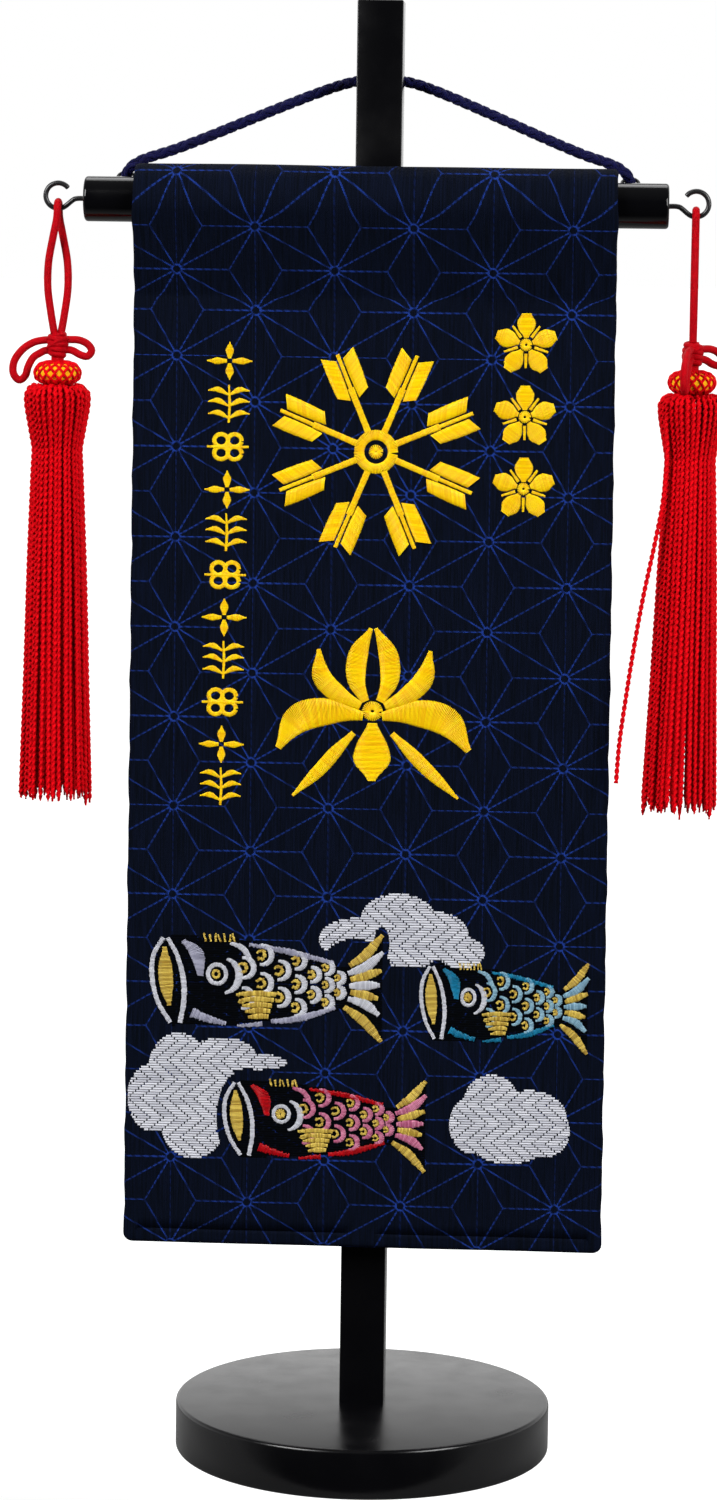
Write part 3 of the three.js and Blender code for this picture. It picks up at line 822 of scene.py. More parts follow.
def banner_layer(name, inset, depth, thickness, material, turned=None, corner=3.6):
    """A cut layer at a depth, solid, and turned over its edges where turned=(back depth, width)."""
    seam_rows = np.arange(PANEL_LENGTH, CLOTH_LENGTH - 0.4, 1.1)
    rows = np.r_[np.arange(inset + EDGE_STRIP, PANEL_LENGTH - 2, 4.5), seam_rows, CLOTH_LENGTH - 0.4]
    across = np.linspace(-1, 1, 45)
    where, depths, flats, faces = [], [], [], []

    def add(point, d, flat):
        where.append(tuple(point))
        depths.append(d)
        flats.append(flat)
        return len(where) - 1

    inner = []
    for s in rows:
        spots = [(t * (banner_half(s) - inset - EDGE_STRIP), s) for t in across]
        inner.append([add(spot, depth, spot) for spot in spots])
    for lower, upper in zip(inner, inner[1:]):
        for j in range(len(across) - 1):
            faces.append((lower[j], lower[j + 1], upper[j + 1], upper[j]))
    round_over = 0.0 if turned is None else (depth - turned[0]) / 2
    rings = []
    for nx, ns, s, x in layer_outline(inset, corner, rows, across):
        half = banner_half(max(s, inset)) - inset

        def held_back(strip):
            return min(max(x, -(half - strip)), half - strip), max(s, inset + strip)

        def outward(a):
            return start[0] + nx * a, start[1] + ns * a

        anchor, start = held_back(EDGE_STRIP), (x - nx * round_over, s - ns * round_over)
        ring = []
        for share in (0, 0.35, 0.7, 1):
            flat = tuple(a + (b - a) * share for a, b in zip(anchor, start))
            ring.append(add(flat, depth, flat))
        if turned is not None:
            for a in np.radians([30, 60, 90, 120, 150, 180]):
                rolled = depth - round_over * (1 - math.cos(a))
                ring.append(add(outward(round_over * math.sin(a)), rolled, outward(round_over * a)))
            fold = held_back(turned[1])
            for share in (0.5, 1):
                point = tuple(a + (b - a) * share for a, b in zip(start, fold))
                gone = round_over * math.pi + math.dist(point, start)
                ring.append(add(point, turned[0], outward(gone)))
        rings.append(ring)
    for a, b in zip(rings, rings[1:]):
        for k in range(len(a) - 1):
            faces.append((a[k], b[k], b[k + 1], a[k + 1]))
    where = np.array(where)
    points = cloth_points(where[:, 0], where[:, 1], np.array(depths))
    uv = np.array([((x / UV_WIDTH) + 0.5, (s + UV_LOW) / UV_HEIGHT) for x, s in flats])
    made = mesh_piece(name, points, faces, material, uv[np.array([v for f in faces for v in f])])
    edit_all(made, lambda: bpy.ops.mesh.remove_doubles(threshold=2e-6), face_outwards)
    front = min(made.data.polygons, key=lambda f: (f.center - Vector((0, -0.026, 0.3))).length)
    if front.normal.y > 0:
        edit_all(made, bpy.ops.mesh.flip_normals)
    wall = made.modifiers.new("wall", "SOLIDIFY")
    wall.thickness, wall.offset, wall.use_even_offset = thickness * MM, -1, True
    bpy.ops.object.modifier_apply(modifier="wall")
    made.data.polygons.foreach_set("use_smooth", [True] * len(made.data.polygons))
    return made


# %% [markdown]
# The brocade is a nearly black navy cloth with a bright blue hemp-leaf pattern, the
# asanoha: stars of twelve rays on a grid of equal triangles with 35.5 mm sides. Folding
# the flat cloth into one star's hexagon makes the whole pattern from one distance: how
# far a point is from the nearest of twelve rays. The pattern is woven, so its
# coordinates first snap to the threads, 0.42 by 0.36 mm, and the rays come out stepped.

# %% brocade
STAR_SIDE, STAR_X, STAR_Z, RAY = 35.5, 77.1, 443.3, math.pi / 6
brocade, tree, shader = new_material("woven_navy_brocade", "#0C1020", 0.8, Specular_IOR_Level=0.03)
flat = add_node(tree, "TexCoord").outputs["UV"]
shift = (-UV_WIDTH / 2 + STAR_X, -UV_LOW - (STAR_Z - HEM_Z), 0)
in_mm = add_node(tree, "Mapping", {0: flat, 1: shift, 3: (UV_WIDTH, UV_HEIGHT, 1)}).outputs[0]
threads = vector_calc(tree, "SNAP", in_mm, (0.42, 0.36, 1))
cell = Vector((STAR_SIDE * math.sqrt(3), STAR_SIDE, 0))
near = vector_calc(tree, "WRAP", threads, cell / 2, -cell / 2)
moved = vector_calc(tree, "ADD", threads, cell / 2)
other = vector_calc(tree, "WRAP", moved, cell / 2, -cell / 2)


def length(vector):
    return add_node(tree, "VectorMath", {0: vector}, operation="LENGTH").outputs["Value"]


closer = calc(tree, "LESS_THAN", length(other), length(near))
star = add_node(tree, "Mix", {0: closer, 4: near, 5: other}, data_type="VECTOR").outputs[1]
radius = length(star)
star_x, star_y, _ = add_node(tree, "SeparateXYZ", {0: star}).outputs
folded = calc(tree, "WRAP", calc(tree, "ARCTAN2", star_y, star_x), RAY / 2, -RAY / 2)
from_ray = calc(tree, "ABSOLUTE", calc(tree, "MULTIPLY", calc(tree, "SINE", folded), radius))
ray = ramp(tree, from_ray, 0.13, 0.36, 1.0, 0.0)
from_ring = calc(tree, "ABSOLUTE", calc(tree, "SUBTRACT", radius, 1.8))
ring = ramp(tree, from_ring, 0.22, 0.45, 1.0, 0.0)
faint = ramp(tree, calc(tree, "ABSOLUTE", star_x), 0.4, 0.75, 0.22, 1.0)
ray = calc(tree, "MULTIPLY", ray, calc(tree, "GREATER_THAN", radius, 1.5))
drawn = calc(tree, "MAXIMUM", calc(tree, "MULTIPLY", ray, faint), ring)

# %% [markdown]
# Each blue thread floats over two ground threads and dives under the next, so the rays
# are dashed, and they look brighter near the star, where many floats lie together. The
# ground is a fine rib, one thread in 0.42 mm, and some warp threads are slightly paler.

# %% brocade threads and colour
rib = wave(tree, in_mm, 0.75, 0.3, "X")
pick_rib = wave(tree, in_mm, 0.87, 0.3, "DIAGONAL")
dash = ramp(tree, wave(tree, in_mm, 0.19, 0.4, "DIAGONAL"), 0.1, 0.55, 0.3, 1.0)
fade = ramp(tree, radius, 2.0, 16.0, 1.15, 0.6)
drawn = calc(tree, "MULTIPLY", drawn, dash)
bright = calc(tree, "MULTIPLY", drawn, fade)
streak = add_node(tree, "Mapping", {0: in_mm, 3: (1.6, 0.05, 1)}).outputs[0]
pale = ramp(tree, noise(tree, streak, 1.0, 3.0), 0.35, 0.75, 0.0, 1.0)
ground = mix(tree, pale, srgb("#03060E"), srgb("#070D1E"))
cloth_colour = mix(tree, bright, ground, srgb("#183078"))
relief = calc(tree, "MULTIPLY_ADD", drawn, 1.2, calc(tree, "MULTIPLY", rib, pick_rib))
dress(tree, shader, relief, 0.45, 0.00018, Base_Color=cloth_colour)
print("brocade nodes", len(tree.nodes))


# %% lining and felt
def woven_cloth(name, colour, dark, thread, roughness, fuzz):
    """A plain weave from two crossed ribs at a thread spacing in mm, with painted shade where the weave
    dips between crossings, mixed with a random tone.
    """
    material, tree, shader = new_material(
        name, colour, roughness, Sheen_Weight=fuzz, Sheen_Roughness=0.5
    )
    flat = add_node(tree, "TexCoord").outputs["UV"]
    in_mm = add_node(tree, "Mapping", {0: flat, 3: (UV_WIDTH, UV_HEIGHT, 1)}).outputs[0]
    warp, weft = (wave(tree, in_mm, 0.314 / thread, 0.4, way, detail=2.0) for way in ("X", "Y"))
    crossed = calc(tree, "MULTIPLY", warp, weft)
    # Painted shade: the colour darkens away from the raised thread crossings, mixed with a slow random
    # tone.
    tone = calc(tree, "MULTIPLY", crossed, noise(tree, in_mm, 0.12, 5.0))
    tones = mix(tree, tone, srgb(dark), srgb(colour))
    dress(tree, shader, crossed, 0.4, 0.00015, Base_Color=tones)
    return material


lining_cloth = woven_cloth("plain_woven_black_cotton", "#1C1E28", "#0B0C12", 0.6, 0.85, 0.15)
felt = woven_cloth("needled_white_polyester_felt", "#E6E2D8", "#CFCABD", 1.4, 0.95, 0.3)

# %% hang the layers
front_cloth = banner_layer("brocade_front", 0.0, CLOTH, 0.45, brocade, turned=(0.95, 11.0))
felt_layer = banner_layer("felt_filling", 3.2, 3.75, 2.2, felt)
lining_layer = banner_layer("lining_back", 2.4, 0.72, 0.45, lining_cloth)
belongs(front_cloth, "banner", "navy_brocade", "banner_front")
belongs(felt_layer, "banner", "white_felt", "banner_interlining")
belongs(lining_layer, "banner", "black_lining", "banner_lining")

# %% [markdown]
# ## Embroidery
# The pictures are satin stitch: rayon thread laid side by side across a shape, so close
# that the cloth is covered. Each stitch here is a small arched strip of real height,
# laid on the swelling cloth, so the light breaks along the stitches as it does on
# thread. Wide shapes are woven instead, in long floats that run one way.


# %% stitches
class Stitches:
    """Gathers stitches in flat panel coordinates (mm across, mm above the foot's underside)."""

    def __init__(self, seed):
        self.rows, self.chance = [], random.Random(seed)

    def add(self, a, b, width, height=0.22, loft=0.0, base=0.0):
        self.rows.append((*a, *b, width, height, loft, base))

    def satin(self, path, widths, pitch=0.5, loft=0.3, base=0.0, lean=0.0, ragged=0.1):
        """Stitches across a path, with the path's width given at even shares of its length."""
        route = smooth_route([(x, 0.0, z) for x, z in path], pitch)[:, [0, 2]]
        ahead = np.gradient(route, axis=0)
        ahead /= np.linalg.norm(ahead, axis=1)[:, None] + 1e-12
        share = np.linspace(0, 1, len(route))
        width = np.interp(share, np.linspace(0, 1, len(widths)), widths)
        reach = max(1, len(share) // 8)
        padded = np.pad(width, reach, mode="edge")
        width = np.convolve(padded, np.ones(2 * reach + 1) / (2 * reach + 1), "valid")
        for p, d, w in zip(route, ahead, width):
            out = np.array([-d[1], d[0]]) * w / 2
            slide = d * lean * w / 2
            uneven = min(1, 1.2 / max(w, 0.3))
            ends = [1 + self.chance.uniform(-ragged, ragged) * uneven for _ in (0, 1)]
            a, b = p + (out + slide) * ends[0], p - (out + slide) * ends[1]
            self.add(a, b, pitch * 1.08, loft=loft * min(1, w / 5), base=base)

    def woven(self, inside, box, pitch, tied, base=0.0, height=0.16, cover=0.96):
        """Horizontal floats inside a shape, broken where tied(row, x) says that they are held."""
        x = np.arange(box[0], box[2], 0.12)
        for row, z in enumerate(np.arange(box[1] + pitch / 2, box[3], pitch)):
            keep = inside(x, np.full_like(x, z)) & ~tied(row, x)
            edges = np.flatnonzero(np.diff(np.r_[0, keep.astype(int), 0]))
            for a, b in zip(edges[::2], edges[1::2]):
                if b - a > 3:
                    self.add((x[a], z), (x[b - 1], z), pitch * cover, height=height, base=base)

    def piece(self, name, material):
        """Makes one mesh of all the stitches, each an arched strip with its ends sunk in the cloth."""
        rows, n = np.array(self.rows), len(self.rows)
        a, b = rows[:, :2], rows[:, 2:4]
        width, height, loft, base = (rows[:, k][:, None] for k in range(4, 8))
        ahead = b - a
        length = np.linalg.norm(ahead, axis=1)[:, None]
        across = np.stack([-ahead[:, 1], ahead[:, 0]], 1) / (length + 1e-9)
        share = np.array([0, 0.07, 0.28, 0.72, 0.93, 1.0])[None, :]
        arch = np.array([0, 0.55, 0.95, 0.95, 0.55, 0])[None, :]
        top = base + loft * arch + height * np.minimum(1, arch * 1.6)
        sides = ((-0.5, 0.0), (-0.24, 1.0), (0.24, 1.0), (0.5, 0.0))
        points = np.zeros((n, 6, 4, 3))
        for k, (offset, lifted) in enumerate(sides):
            aside = across[:, None, :] * (width * offset)[:, None, :]
            flat = a[:, None, :] + ahead[:, None, :] * share[..., None] + aside
            lift = top if lifted else base - 0.06 + loft * arch * 0.8
            x, s = flat[..., 0], flat[..., 1] - HEM_Z
            points[:, :, k] = cloth_points(x, s, CLOTH + lift * np.ones_like(x))
        faces, uvs = [], []
        corner = np.arange(24).reshape(6, 4)
        pattern = [
            (corner[i, k], corner[i, (k + 1) % 4], corner[i + 1, (k + 1) % 4], corner[i + 1, k])
            for i in range(5)
            for k in range(4)
        ]
        pattern += [tuple(corner[0, ::-1]), tuple(corner[5])]
        for s in range(n):
            for face in pattern:
                faces.append(tuple(24 * s + v for v in face))
                for v in face:
                    uvs.append(((v % 4) / 4, float(share[0, v // 4] * length[s, 0])))
        made = mesh_piece(name, points.reshape(-1, 3), faces, material, uvs)
        tone = made.data.attributes.new("tone", "FLOAT", "POINT")
        picked = [self.chance.random() for _ in range(n)]
        tone.data.foreach_set("value", np.repeat(np.array(picked, "f"), 24))
        edit_all(made, face_outwards)
        belongs(made, "banner", "navy_brocade")
        print(name, "stitches", n)


# %% [markdown]
# Embroidery thread is viscose rayon: smooth filaments with a bright gloss along the
# stitch. Gold is a foil-wrapped thread, a little metallic. Each stitch has its own tone,
# because the light catches neighbouring stitches at different angles.


# %% thread colours
def thread(name, colour, dark, roughness=0.38, gloss=0.2):
    """Embroidery thread, with a tone that changes from stitch to stitch."""
    material, tree, shader = new_material(name, colour, roughness, Specular_IOR_Level=gloss)
    tone = add_node(tree, "Attribute", attribute_name="tone").outputs["Fac"]
    flat = add_node(tree, "TexCoord").outputs["UV"]
    laid = add_node(tree, "Mapping", {0: flat, 3: (5.0, 0.9, 1)}).outputs[0]
    plies = noise(tree, laid, 1.6, 3.0)
    share = ramp(tree, calc(tree, "MULTIPLY", tone, plies), 0.0, 0.55, 0.0, 1.0)
    tones = mix(tree, share, srgb(dark), srgb(colour))
    dress(tree, shader, plies, 0.35, 0.0001, Base_Color=tones)
    return material


THREADS = {
    "yellow": thread("satin_rayon_thread_yellow", "#F2D400", "#E8B200"),
    "gold": thread("foil_wrapped_thread_gold", "#D8BE58", "#96782A", 0.34),
    "silver": thread("rayon_thread_silver_white", "#C6C7CE", "#A6A7B0"),
    "grey": thread("rayon_thread_pale_grey", "#A2A2B4", "#7C7C8E"),
    "black": thread("rayon_thread_black", "#020306", "#010203", 0.9, gloss=0.03),
    "ice": thread("rayon_thread_ice_blue", "#8FB2C2", "#64899E"),
    "teal": thread("rayon_thread_teal", "#1279A0", "#0C5A78"),
    "pink": thread("rayon_thread_pink", "#C9829C", "#A04A6C"),
    "red": thread("rayon_thread_red", "#B4000E", "#860008"),
    "navy": thread("spun_navy_sewing_thread", "#1B2450", "#0C1230", 0.7),
}
print("thread colours", len(THREADS))


# %% shapes to fill
def ring_path(x, z, across, tall, start=0, stop=360, tilt=0, count=17):
    """Points of an ellipse or part of one, in degrees, with the whole leaned by tilt."""
    t = math.radians(tilt)
    made = []
    for a in np.radians(np.linspace(start, stop, count)):
        u, v = across * math.cos(a), tall * math.sin(a)
        made.append((x + u * math.cos(t) - v * math.sin(t), z + u * math.sin(t) + v * math.cos(t)))
    return made


def rays(x, z, inner, outer, heading):
    a = math.radians(heading)
    return [(x + r * math.cos(a), z + r * math.sin(a)) for r in (inner, (inner + outer) / 2, outer)]


# %% [markdown]
# Two large crests stand in the middle, one above the other. The upper one is an arrow
# wheel, a traditional pinwheel of eight arrows for a boy's festival. The lower one is
# an iris with its leaves, the flower of the same day.

# %% arrow wheel
wheel = Stitches(11)
WHEEL_X, WHEEL_Z = 1.5, 407.0
for k in range(8):
    heading = 22.5 + 45 * k
    a = math.radians(heading)
    along, across = np.array([math.cos(a), math.sin(a)]), np.array([-math.sin(a), math.cos(a)])
    shaft = rays(WHEEL_X, WHEEL_Z, 8.6, 26.5, heading)
    wheel.satin(shaft, [2.6, 2.4, 2.4, 2.6], loft=0.45)
    for hand in (-1, 1):
        root = np.array(rays(WHEEL_X, WHEEL_Z, 25.6, 33.0, heading))
        vane = root + across * hand * (1.2 + 2.9)
        edge = [vane[0] - along * 2.0, vane[1], vane[2], vane[2] + along * 6.6]
        wheel.satin(edge, [4.6, 5.4, 5.6, 5.4], loft=0.5, lean=0.55 * hand)
    wheel.satin(rays(WHEEL_X, WHEEL_Z, 27.0, 40.5, heading), [1.5, 1.5], loft=0.6, base=0.12)
wheel.satin(ring_path(WHEEL_X, WHEEL_Z, 6.6, 6.6, 0, 352, count=25), [4.0, 4.0], loft=0.5)
wheel.satin(ring_path(WHEEL_X, WHEEL_Z, 1.5, 1.5, 0, 345, count=13), [2.6, 2.6], loft=0.4, base=0.05)
wheel.piece("crest_arrow_wheel", THREADS["yellow"])

# %% iris
iris = Stitches(12)
IRIS_X, IRIS_Z = 1.5, 305.0
petals = [
    ([(-3.0, 4), (-6.5, 12), (-6.0, 22), (-1.0, 32.5)], [3.0, 8.0, 8.0, 1.0]),
    ([(3.0, 4), (6.5, 12), (6.0, 22), (1.0, 32.5)], [3.0, 8.0, 8.0, 1.0]),
    ([(-5, 2), (-13, 6), (-20, 13), (-21.5, 24)], [3.0, 7.5, 8.0, 1.0]),
    ([(5, 2), (13, 6), (20, 13), (22.5, 24)], [3.0, 7.5, 8.0, 1.0]),
    ([(-4, -2), (-16, -0.5), (-29, -3.5), (-37.0, -15.0)], [3.0, 11.0, 12.5, 1.6]),
    ([(4, -2), (16, -0.5), (29, -3.5), (38.0, -15.0)], [3.0, 11.0, 12.5, 1.6]),
    ([(0, -5), (0, -12), (0, -20), (0, -27.5)], [3.0, 12.0, 16.0, 2.0]),
]
for path, widths in petals:
    iris.satin([(IRIS_X + x, IRIS_Z + z) for x, z in path], widths, loft=0.55)
for path in (
    [(-7.5, -9), (-14, -16), (-20, -23), (-31, -34)],
    [(8.0, -9), (15, -16), (22, -23), (34, -34)],
):
    iris.satin([(IRIS_X + x, IRIS_Z + z) for x, z in path], [2.0, 5.5, 5.0, 0.8], loft=0.45)
iris.satin(ring_path(IRIS_X, IRIS_Z, 2.4, 2.2, 0, 345, count=15), [3.4, 3.4], loft=0.4, base=0.3)
iris.piece("crest_iris", THREADS["yellow"])

# %% [markdown]
# Small crests run down both sides: three five-petalled blossoms on the right, and on
# the left a column of diamonds, sprigs and knots, each as tall as it is wide.


# %% small crests
FINE = 0.45  # mm from stitch to stitch in the small crests


def blossom(work, x, z, size):
    widths = [size * share for share in (0.12, 0.52, 0.62, 0.28)]
    for k in range(5):
        heading = 90 + 72 * k
        work.satin(rays(x, z, size * 0.24, size * 0.98, heading), widths, FINE)
        notch = rays(x, z, size * 0.30, size * 0.72, heading + 36)
        work.satin(notch, [size * 0.10, size * 0.07], FINE, base=0.1)
    middle = ring_path(x, z, size * 0.12, size * 0.12, 0, 340, count=11)
    work.satin(middle, [size * 0.16] * 2, FINE)


def diamond(work, x, z, size):
    for hand in (-1, 1):
        upright = [(x, z + hand * size * share) for share in (0.16, 0.55, 1)]
        work.satin(upright, [size * 0.18, size * 0.5, 0.4], FINE)
        level = [(x + hand * size * share, z) for share in (0.18, 0.7, 1.2)]
        work.satin(level, [size * 0.18, size * 0.42, 0.4], FINE)


def sprig(work, x, z, size):
    work.satin([(x, z - size), (x + 0.3, z), (x, z + size)], [0.9, 1.1, 0.7], FINE)
    for hand in (-1, 1):
        for low in (-0.65, 0.0, 0.6):
            root = (x + hand * 0.5, z + size * low - 0.6)
            middle = (x + hand * size * 0.6, z + size * (low + 0.18))
            tip = (x + hand * size * 1.1, z + size * (low + 0.12))
            work.satin([root, middle, tip], [0.8, size * 0.34, 0.4], FINE)


def flower_knot(work, x, z, size):
    for k in range(4):
        a = math.radians(45 + 90 * k)
        at = x + size * 0.52 * math.cos(a), z + size * 0.48 * math.sin(a)
        petal = ring_path(*at, size * 0.38, size * 0.34, 0, 345, count=13)
        work.satin(petal, [size * 0.24] * 2, FINE)
    bar = [(x - size * 1.1, z), (x, z), (x + size * 1.1, z)]
    work.satin(bar, [0.9, 1.2, 0.9], FINE, base=0.1)


right_crests, left_crests = Stitches(13), Stitches(14)
for z in (449.5, 421.5, 393.5):
    blossom(right_crests, 59.3, z, 12.2)
right_crests.piece("crests_blossoms", THREADS["yellow"])
COLUMN_X, COLUMN_TOP, COLUMN_STEP, COLUMN_LEAN = -56.2, 441.5, 16.75, 0.012
for k in range(11):
    z = COLUMN_TOP - COLUMN_STEP * k
    crest = (diamond, sprig, flower_knot)[k % 3]
    crest(left_crests, COLUMN_X - COLUMN_LEAN * (COLUMN_TOP - z), z, 7.2)
left_crests.piece("crests_small", THREADS["yellow"])

# %% [markdown]
# Carp streamers fly below the crests. Each is a tube of cloth with an open mouth ring,
# a round eye, a body of overlapping scales, a fin and a forked tail. One function draws
# the fish in its own frame, 94 mm long and facing left, and lays it at a place and size,
# so the three share a pattern and differ in colour, as they do when they are woven.


# %% carp
BODY_X = [-46, -44.5, -42, -38, -30, -14, 6, 30, 36, 42, 46]
BODY_HALF = [2, 9, 14, 18, 17.5, 17.0, 14.5, 8.0, 9.5, 16, 21.5]
SCALE_COLUMNS = (-9.0, -1.7, 5.4, 12.2, 18.4, 24.0, 28.8)
# Root and tip of each strip of the tail.
TAIL = [
    (33, 8.5, 45.5, 21.0), (32.5, 5.2, 45.8, 14.0), (33.5, 2.6, 45.2, 6.5), (33, 0.0, 44.6, 0.6),
    (33.5, -2.6, 44.0, -4.8), (32.5, -5.4, 44.4, -11.6), (31.0, -8.8, 45.5, -22.5),
]


def carp(name, x0, z0, stretch, rise, scale_thread, patch_thread, eye_gold, seed):
    """Five meshes of stitches for one carp, one for each thread."""
    kinds = ("ring", "scale", "patch", "gold", "black")
    work = {kind: Stitches(seed + i) for i, kind in enumerate(kinds)}

    def at(path):
        return [(x0 + x * stretch, z0 + z * rise) for x, z in path]

    size = (stretch + rise) / 2

    def draw(kind, path, widths, pitch=0.55, loft=0.18, base=0.25, ragged=0.22, lean=0.0):
        work[kind].satin(at(path), [w * size for w in widths], pitch, loft, base, lean, ragged)

    def half_body(x):
        return np.interp(x, BODY_X, BODY_HALF)

    def silhouette(x, z):
        u, v = (x - x0) / stretch, (z - z0) / rise
        middle = np.interp(u, [-44, 0, 47], [1.0, 0.5, -2.0])
        return (u > -46) & (u < 46) & (np.abs(v - middle) < half_body(u) + 0.8)

    def tied(row, x):
        return (x + 5 * (row % 3)) % 15 < 0.14

    low, high = at([(-47, -27), (48, 26)])
    work["black"].woven(silhouette, (*low, *high), 0.95, tied, height=0.08, cover=1.25)
    mouth = [(-41.6, 18.0), (-45.2, 11.5), (-46.0, 3.0), (-43.6, -8.0), (-38.6, -16.6)]
    draw("ring", mouth, [1.6, 2.0, 1.9, 1.7])
    gill = [(-39.6, 18.0), (-35.6, 10.0), (-33.4, 1.0), (-33.2, -8.0), (-34.6, -16.6)]
    draw("ring", gill, [1.6, 2.0, 2.2, 1.9])
    draw("gold", [(-41.0, 14.2), (-40.4, 1.5), (-39.0, -9.5)], [1.0, 5.2, 6.2, 5.0, 1.0], loft=0.4)
    draw("patch", [(-33.5, 17.0), (-28.5, 12.5), (-26.6, 3.0)], [1.6, 6.0, 2.2], lean=0.3)
    draw("patch", [(-29.8, -12.5), (-24.0, -14.8), (-16.5, -16.6)], [4.0, 2.8, 1.8], ragged=0.5)
    draw("patch", [(-11.5, -17.6), (-2, -16.6)], [1.0, 2.2], ragged=0.4)
    draw("patch", [(-7.0, 16.0), (8, 13.6), (26, 9.4)], [1.2, 2.6, 1.6], ragged=0.4)
    draw("patch", [(2.0, -15.4), (12, -14.0), (27, -9.2)], [1.6, 3.2, 1.2], ragged=0.4)
    draw("ring", ring_path(-20.0, 3.6, 3.6, 3.9, 10, 365), [1.7, 1.7])
    pupil = [1.9 if eye_gold else 1.0] * 2
    draw("gold", ring_path(-20.4, 3.6, 1.3, 1.5, 0, 345, count=11), pupil)
    draw("ring", ring_path(-18.0, 3.0, 6.8, 7.2, -78, 72, count=13), [0.9, 2.6, 3.1, 2.6, 0.9])
    for k in range(7):
        x = -24.5 + 1.9 * k
        tuft = [(x, 17.2), (x - 0.9 + 0.5 * (k % 3), 20.2 - 0.5 * (k % 2))]
        draw("gold", tuft, [0.8, 0.8], ragged=0.4)
    for column, x in enumerate(SCALE_COLUMNS):
        half = float(half_body(x)) - 0.8
        reach, step = 0.7 + 0.225 * half, 0.8 * half
        for k in range(-1, 3):
            z = (k if column % 2 else k - 0.5) * step + 0.2
            if abs(z) > half - reach * 0.55 or (x < 6 and z < -7.5):
                continue
            crescent = ring_path(x - 0.6, z, reach, reach, -96, 92, count=13)
            draw("scale", crescent, [1.1, 2.1, 2.4, 2.1, 1.1])
            spot = ring_path(x - 1.0, z, reach * 0.42, reach * 0.44, -130, 150, count=11)
            draw("gold", spot, [1.0, 1.3, 1.0], ragged=0.5)
    draw("scale", [(-14.6, 16.4), (-10.0, 14.6), (-6.6, 9.6)], [1.2, 2.6, 1.6])
    for k in range(5):
        z = -4.6 - 2.3 * k
        fin = [(-12.0 + 1.2 * k, z), (-5.5 + 0.9 * k, z + 0.6), (3.2 - 0.7 * k, z + 0.4)]
        draw("gold", fin, [1.0, 2.3, 2.4, 1.7], loft=0.3, base=0.45)
    for k, (x, z, tip_x, tip_z) in enumerate(TAIL):
        kind = "gold" if k % 2 == 0 else "scale"
        bow = 1.6 if k < 2 else (-1.6 if k > 4 else 0)
        strip = [(x, z), ((x + tip_x) / 2, (z + tip_z) / 2 - bow), (tip_x, tip_z)]
        draw(kind, strip, [1.8, 4.0, 3.9, 1.6], ragged=0.3, loft=0.3)
    spools = ("black", "silver", scale_thread, patch_thread, "gold")
    for kind, spool in zip(("black", "ring", "scale", "patch", "gold"), spools):
        work[kind].piece(f"{name}_{kind}", THREADS[spool])


carp("carp_pale", -38.9, 195.0, 1.0, 0.98, "silver", "grey", False, 20)
carp("carp_blue", 55.6, 188.5, 0.72, 0.83, "ice", "teal", True, 30)
carp("carp_red", -15.2, 139.5, 0.875, 0.84, "pink", "red", True, 40)

# %% [markdown]
# Behind, a machine seam closes the sleeve: a row of navy lockstitches about 3 mm long,
# a little above the cut end of the cloth.

# %% sleeve seam
seam = Stitches(70)
SEAM_Z = HEM_Z + CLOTH_LENGTH - 2.6
for x in np.arange(-91.5, 90.0, 3.9):
    seam.add((x, SEAM_Z), (x + 3.1, SEAM_Z), 0.5, height=0.14)
seam.piece("sleeve_seam", THREADS["navy"])

# %% [markdown]
# Three banks of cloud drift between the fish. They are woven in silver-white floats
# about 1 mm apart that run straight across, and a tie-down thread crosses them in
# slanting rows that turn back every few floats, which draws a herringbone over them.


# %% clouds
def cloud(name, puffs, box, avoid, seed):
    """Woven floats over a union of ovals (centre and radii), less the ovals to avoid."""
    work = Stitches(seed)

    def inside(x, z):
        covered = np.zeros(x.shape, bool)
        for cx, cz, rx, rz in puffs:
            covered |= ((x - cx) / rx) ** 2 + ((z - cz) / rz) ** 2 < 1
        for cx, cz, rx, rz in avoid:
            covered &= ((x - cx) / rx) ** 2 + ((z - cz) / rz) ** 2 > 1
        return covered

    def tied(row, x):
        fold = abs((row % 16) - 8) * 1.15
        return np.abs((x - fold) % 5.4 - 2.7) < 0.17

    work.woven(inside, box, 0.98, tied, base=0.28, height=0.2)
    work.piece(name, THREADS["silver"])


cloud(
    "cloud_upper",
    [
        (13, 222, 15, 10.5), (-3, 213.5, 15.5, 9.0), (28, 216, 13, 9.5),
        (38, 209.5, 9.5, 6.5), (14, 210, 15, 8.5),
    ],
    (-20.3, 203.2, 47.6, 233.0),
    [(-4, 200, 14.6, 14.0), (6.5, 212, 3.0, 7.0)],
    50,
)
cloud(
    "cloud_left",
    [
        (-74, 160, 12, 14.5), (-84, 148, 10.5, 14), (-56, 166, 13, 7.0),
        (-68, 138, 13, 14.5), (-42, 163.5, 11.5, 3.2), (-64, 152, 14, 14),
    ],
    (-94.3, 123.6, -30.5, 174.9),
    [(-48.9, 140.4, 9.6, 18.8), (-38, 142, 18, 18.5)],
    51,
)
cloud(
    "cloud_right",
    [
        (51, 149.5, 11, 11), (44.5, 140, 10.2, 12), (66, 144, 15, 10.5),
        (73, 138, 9.5, 10.5), (58, 134, 16, 9.6),
    ],
    (34.4, 124.5, 82.8, 160.6),
    [],
    52,
)

# %% [markdown]
# ## Tassels
# A tassel skirt is a hank of red rayon cords, each two plies twisted together and about
# 1.9 mm thick. They come out from under the head, turn over in a rounded shoulder, draw
# in at a waist and fall 165 mm, a little apart at the hem. Two plies twisted together
# look like a figure of eight turned along its length, so each cord is that section and
# turns once in 5 mm. That gives the rope its grooves with eight points to a ring.

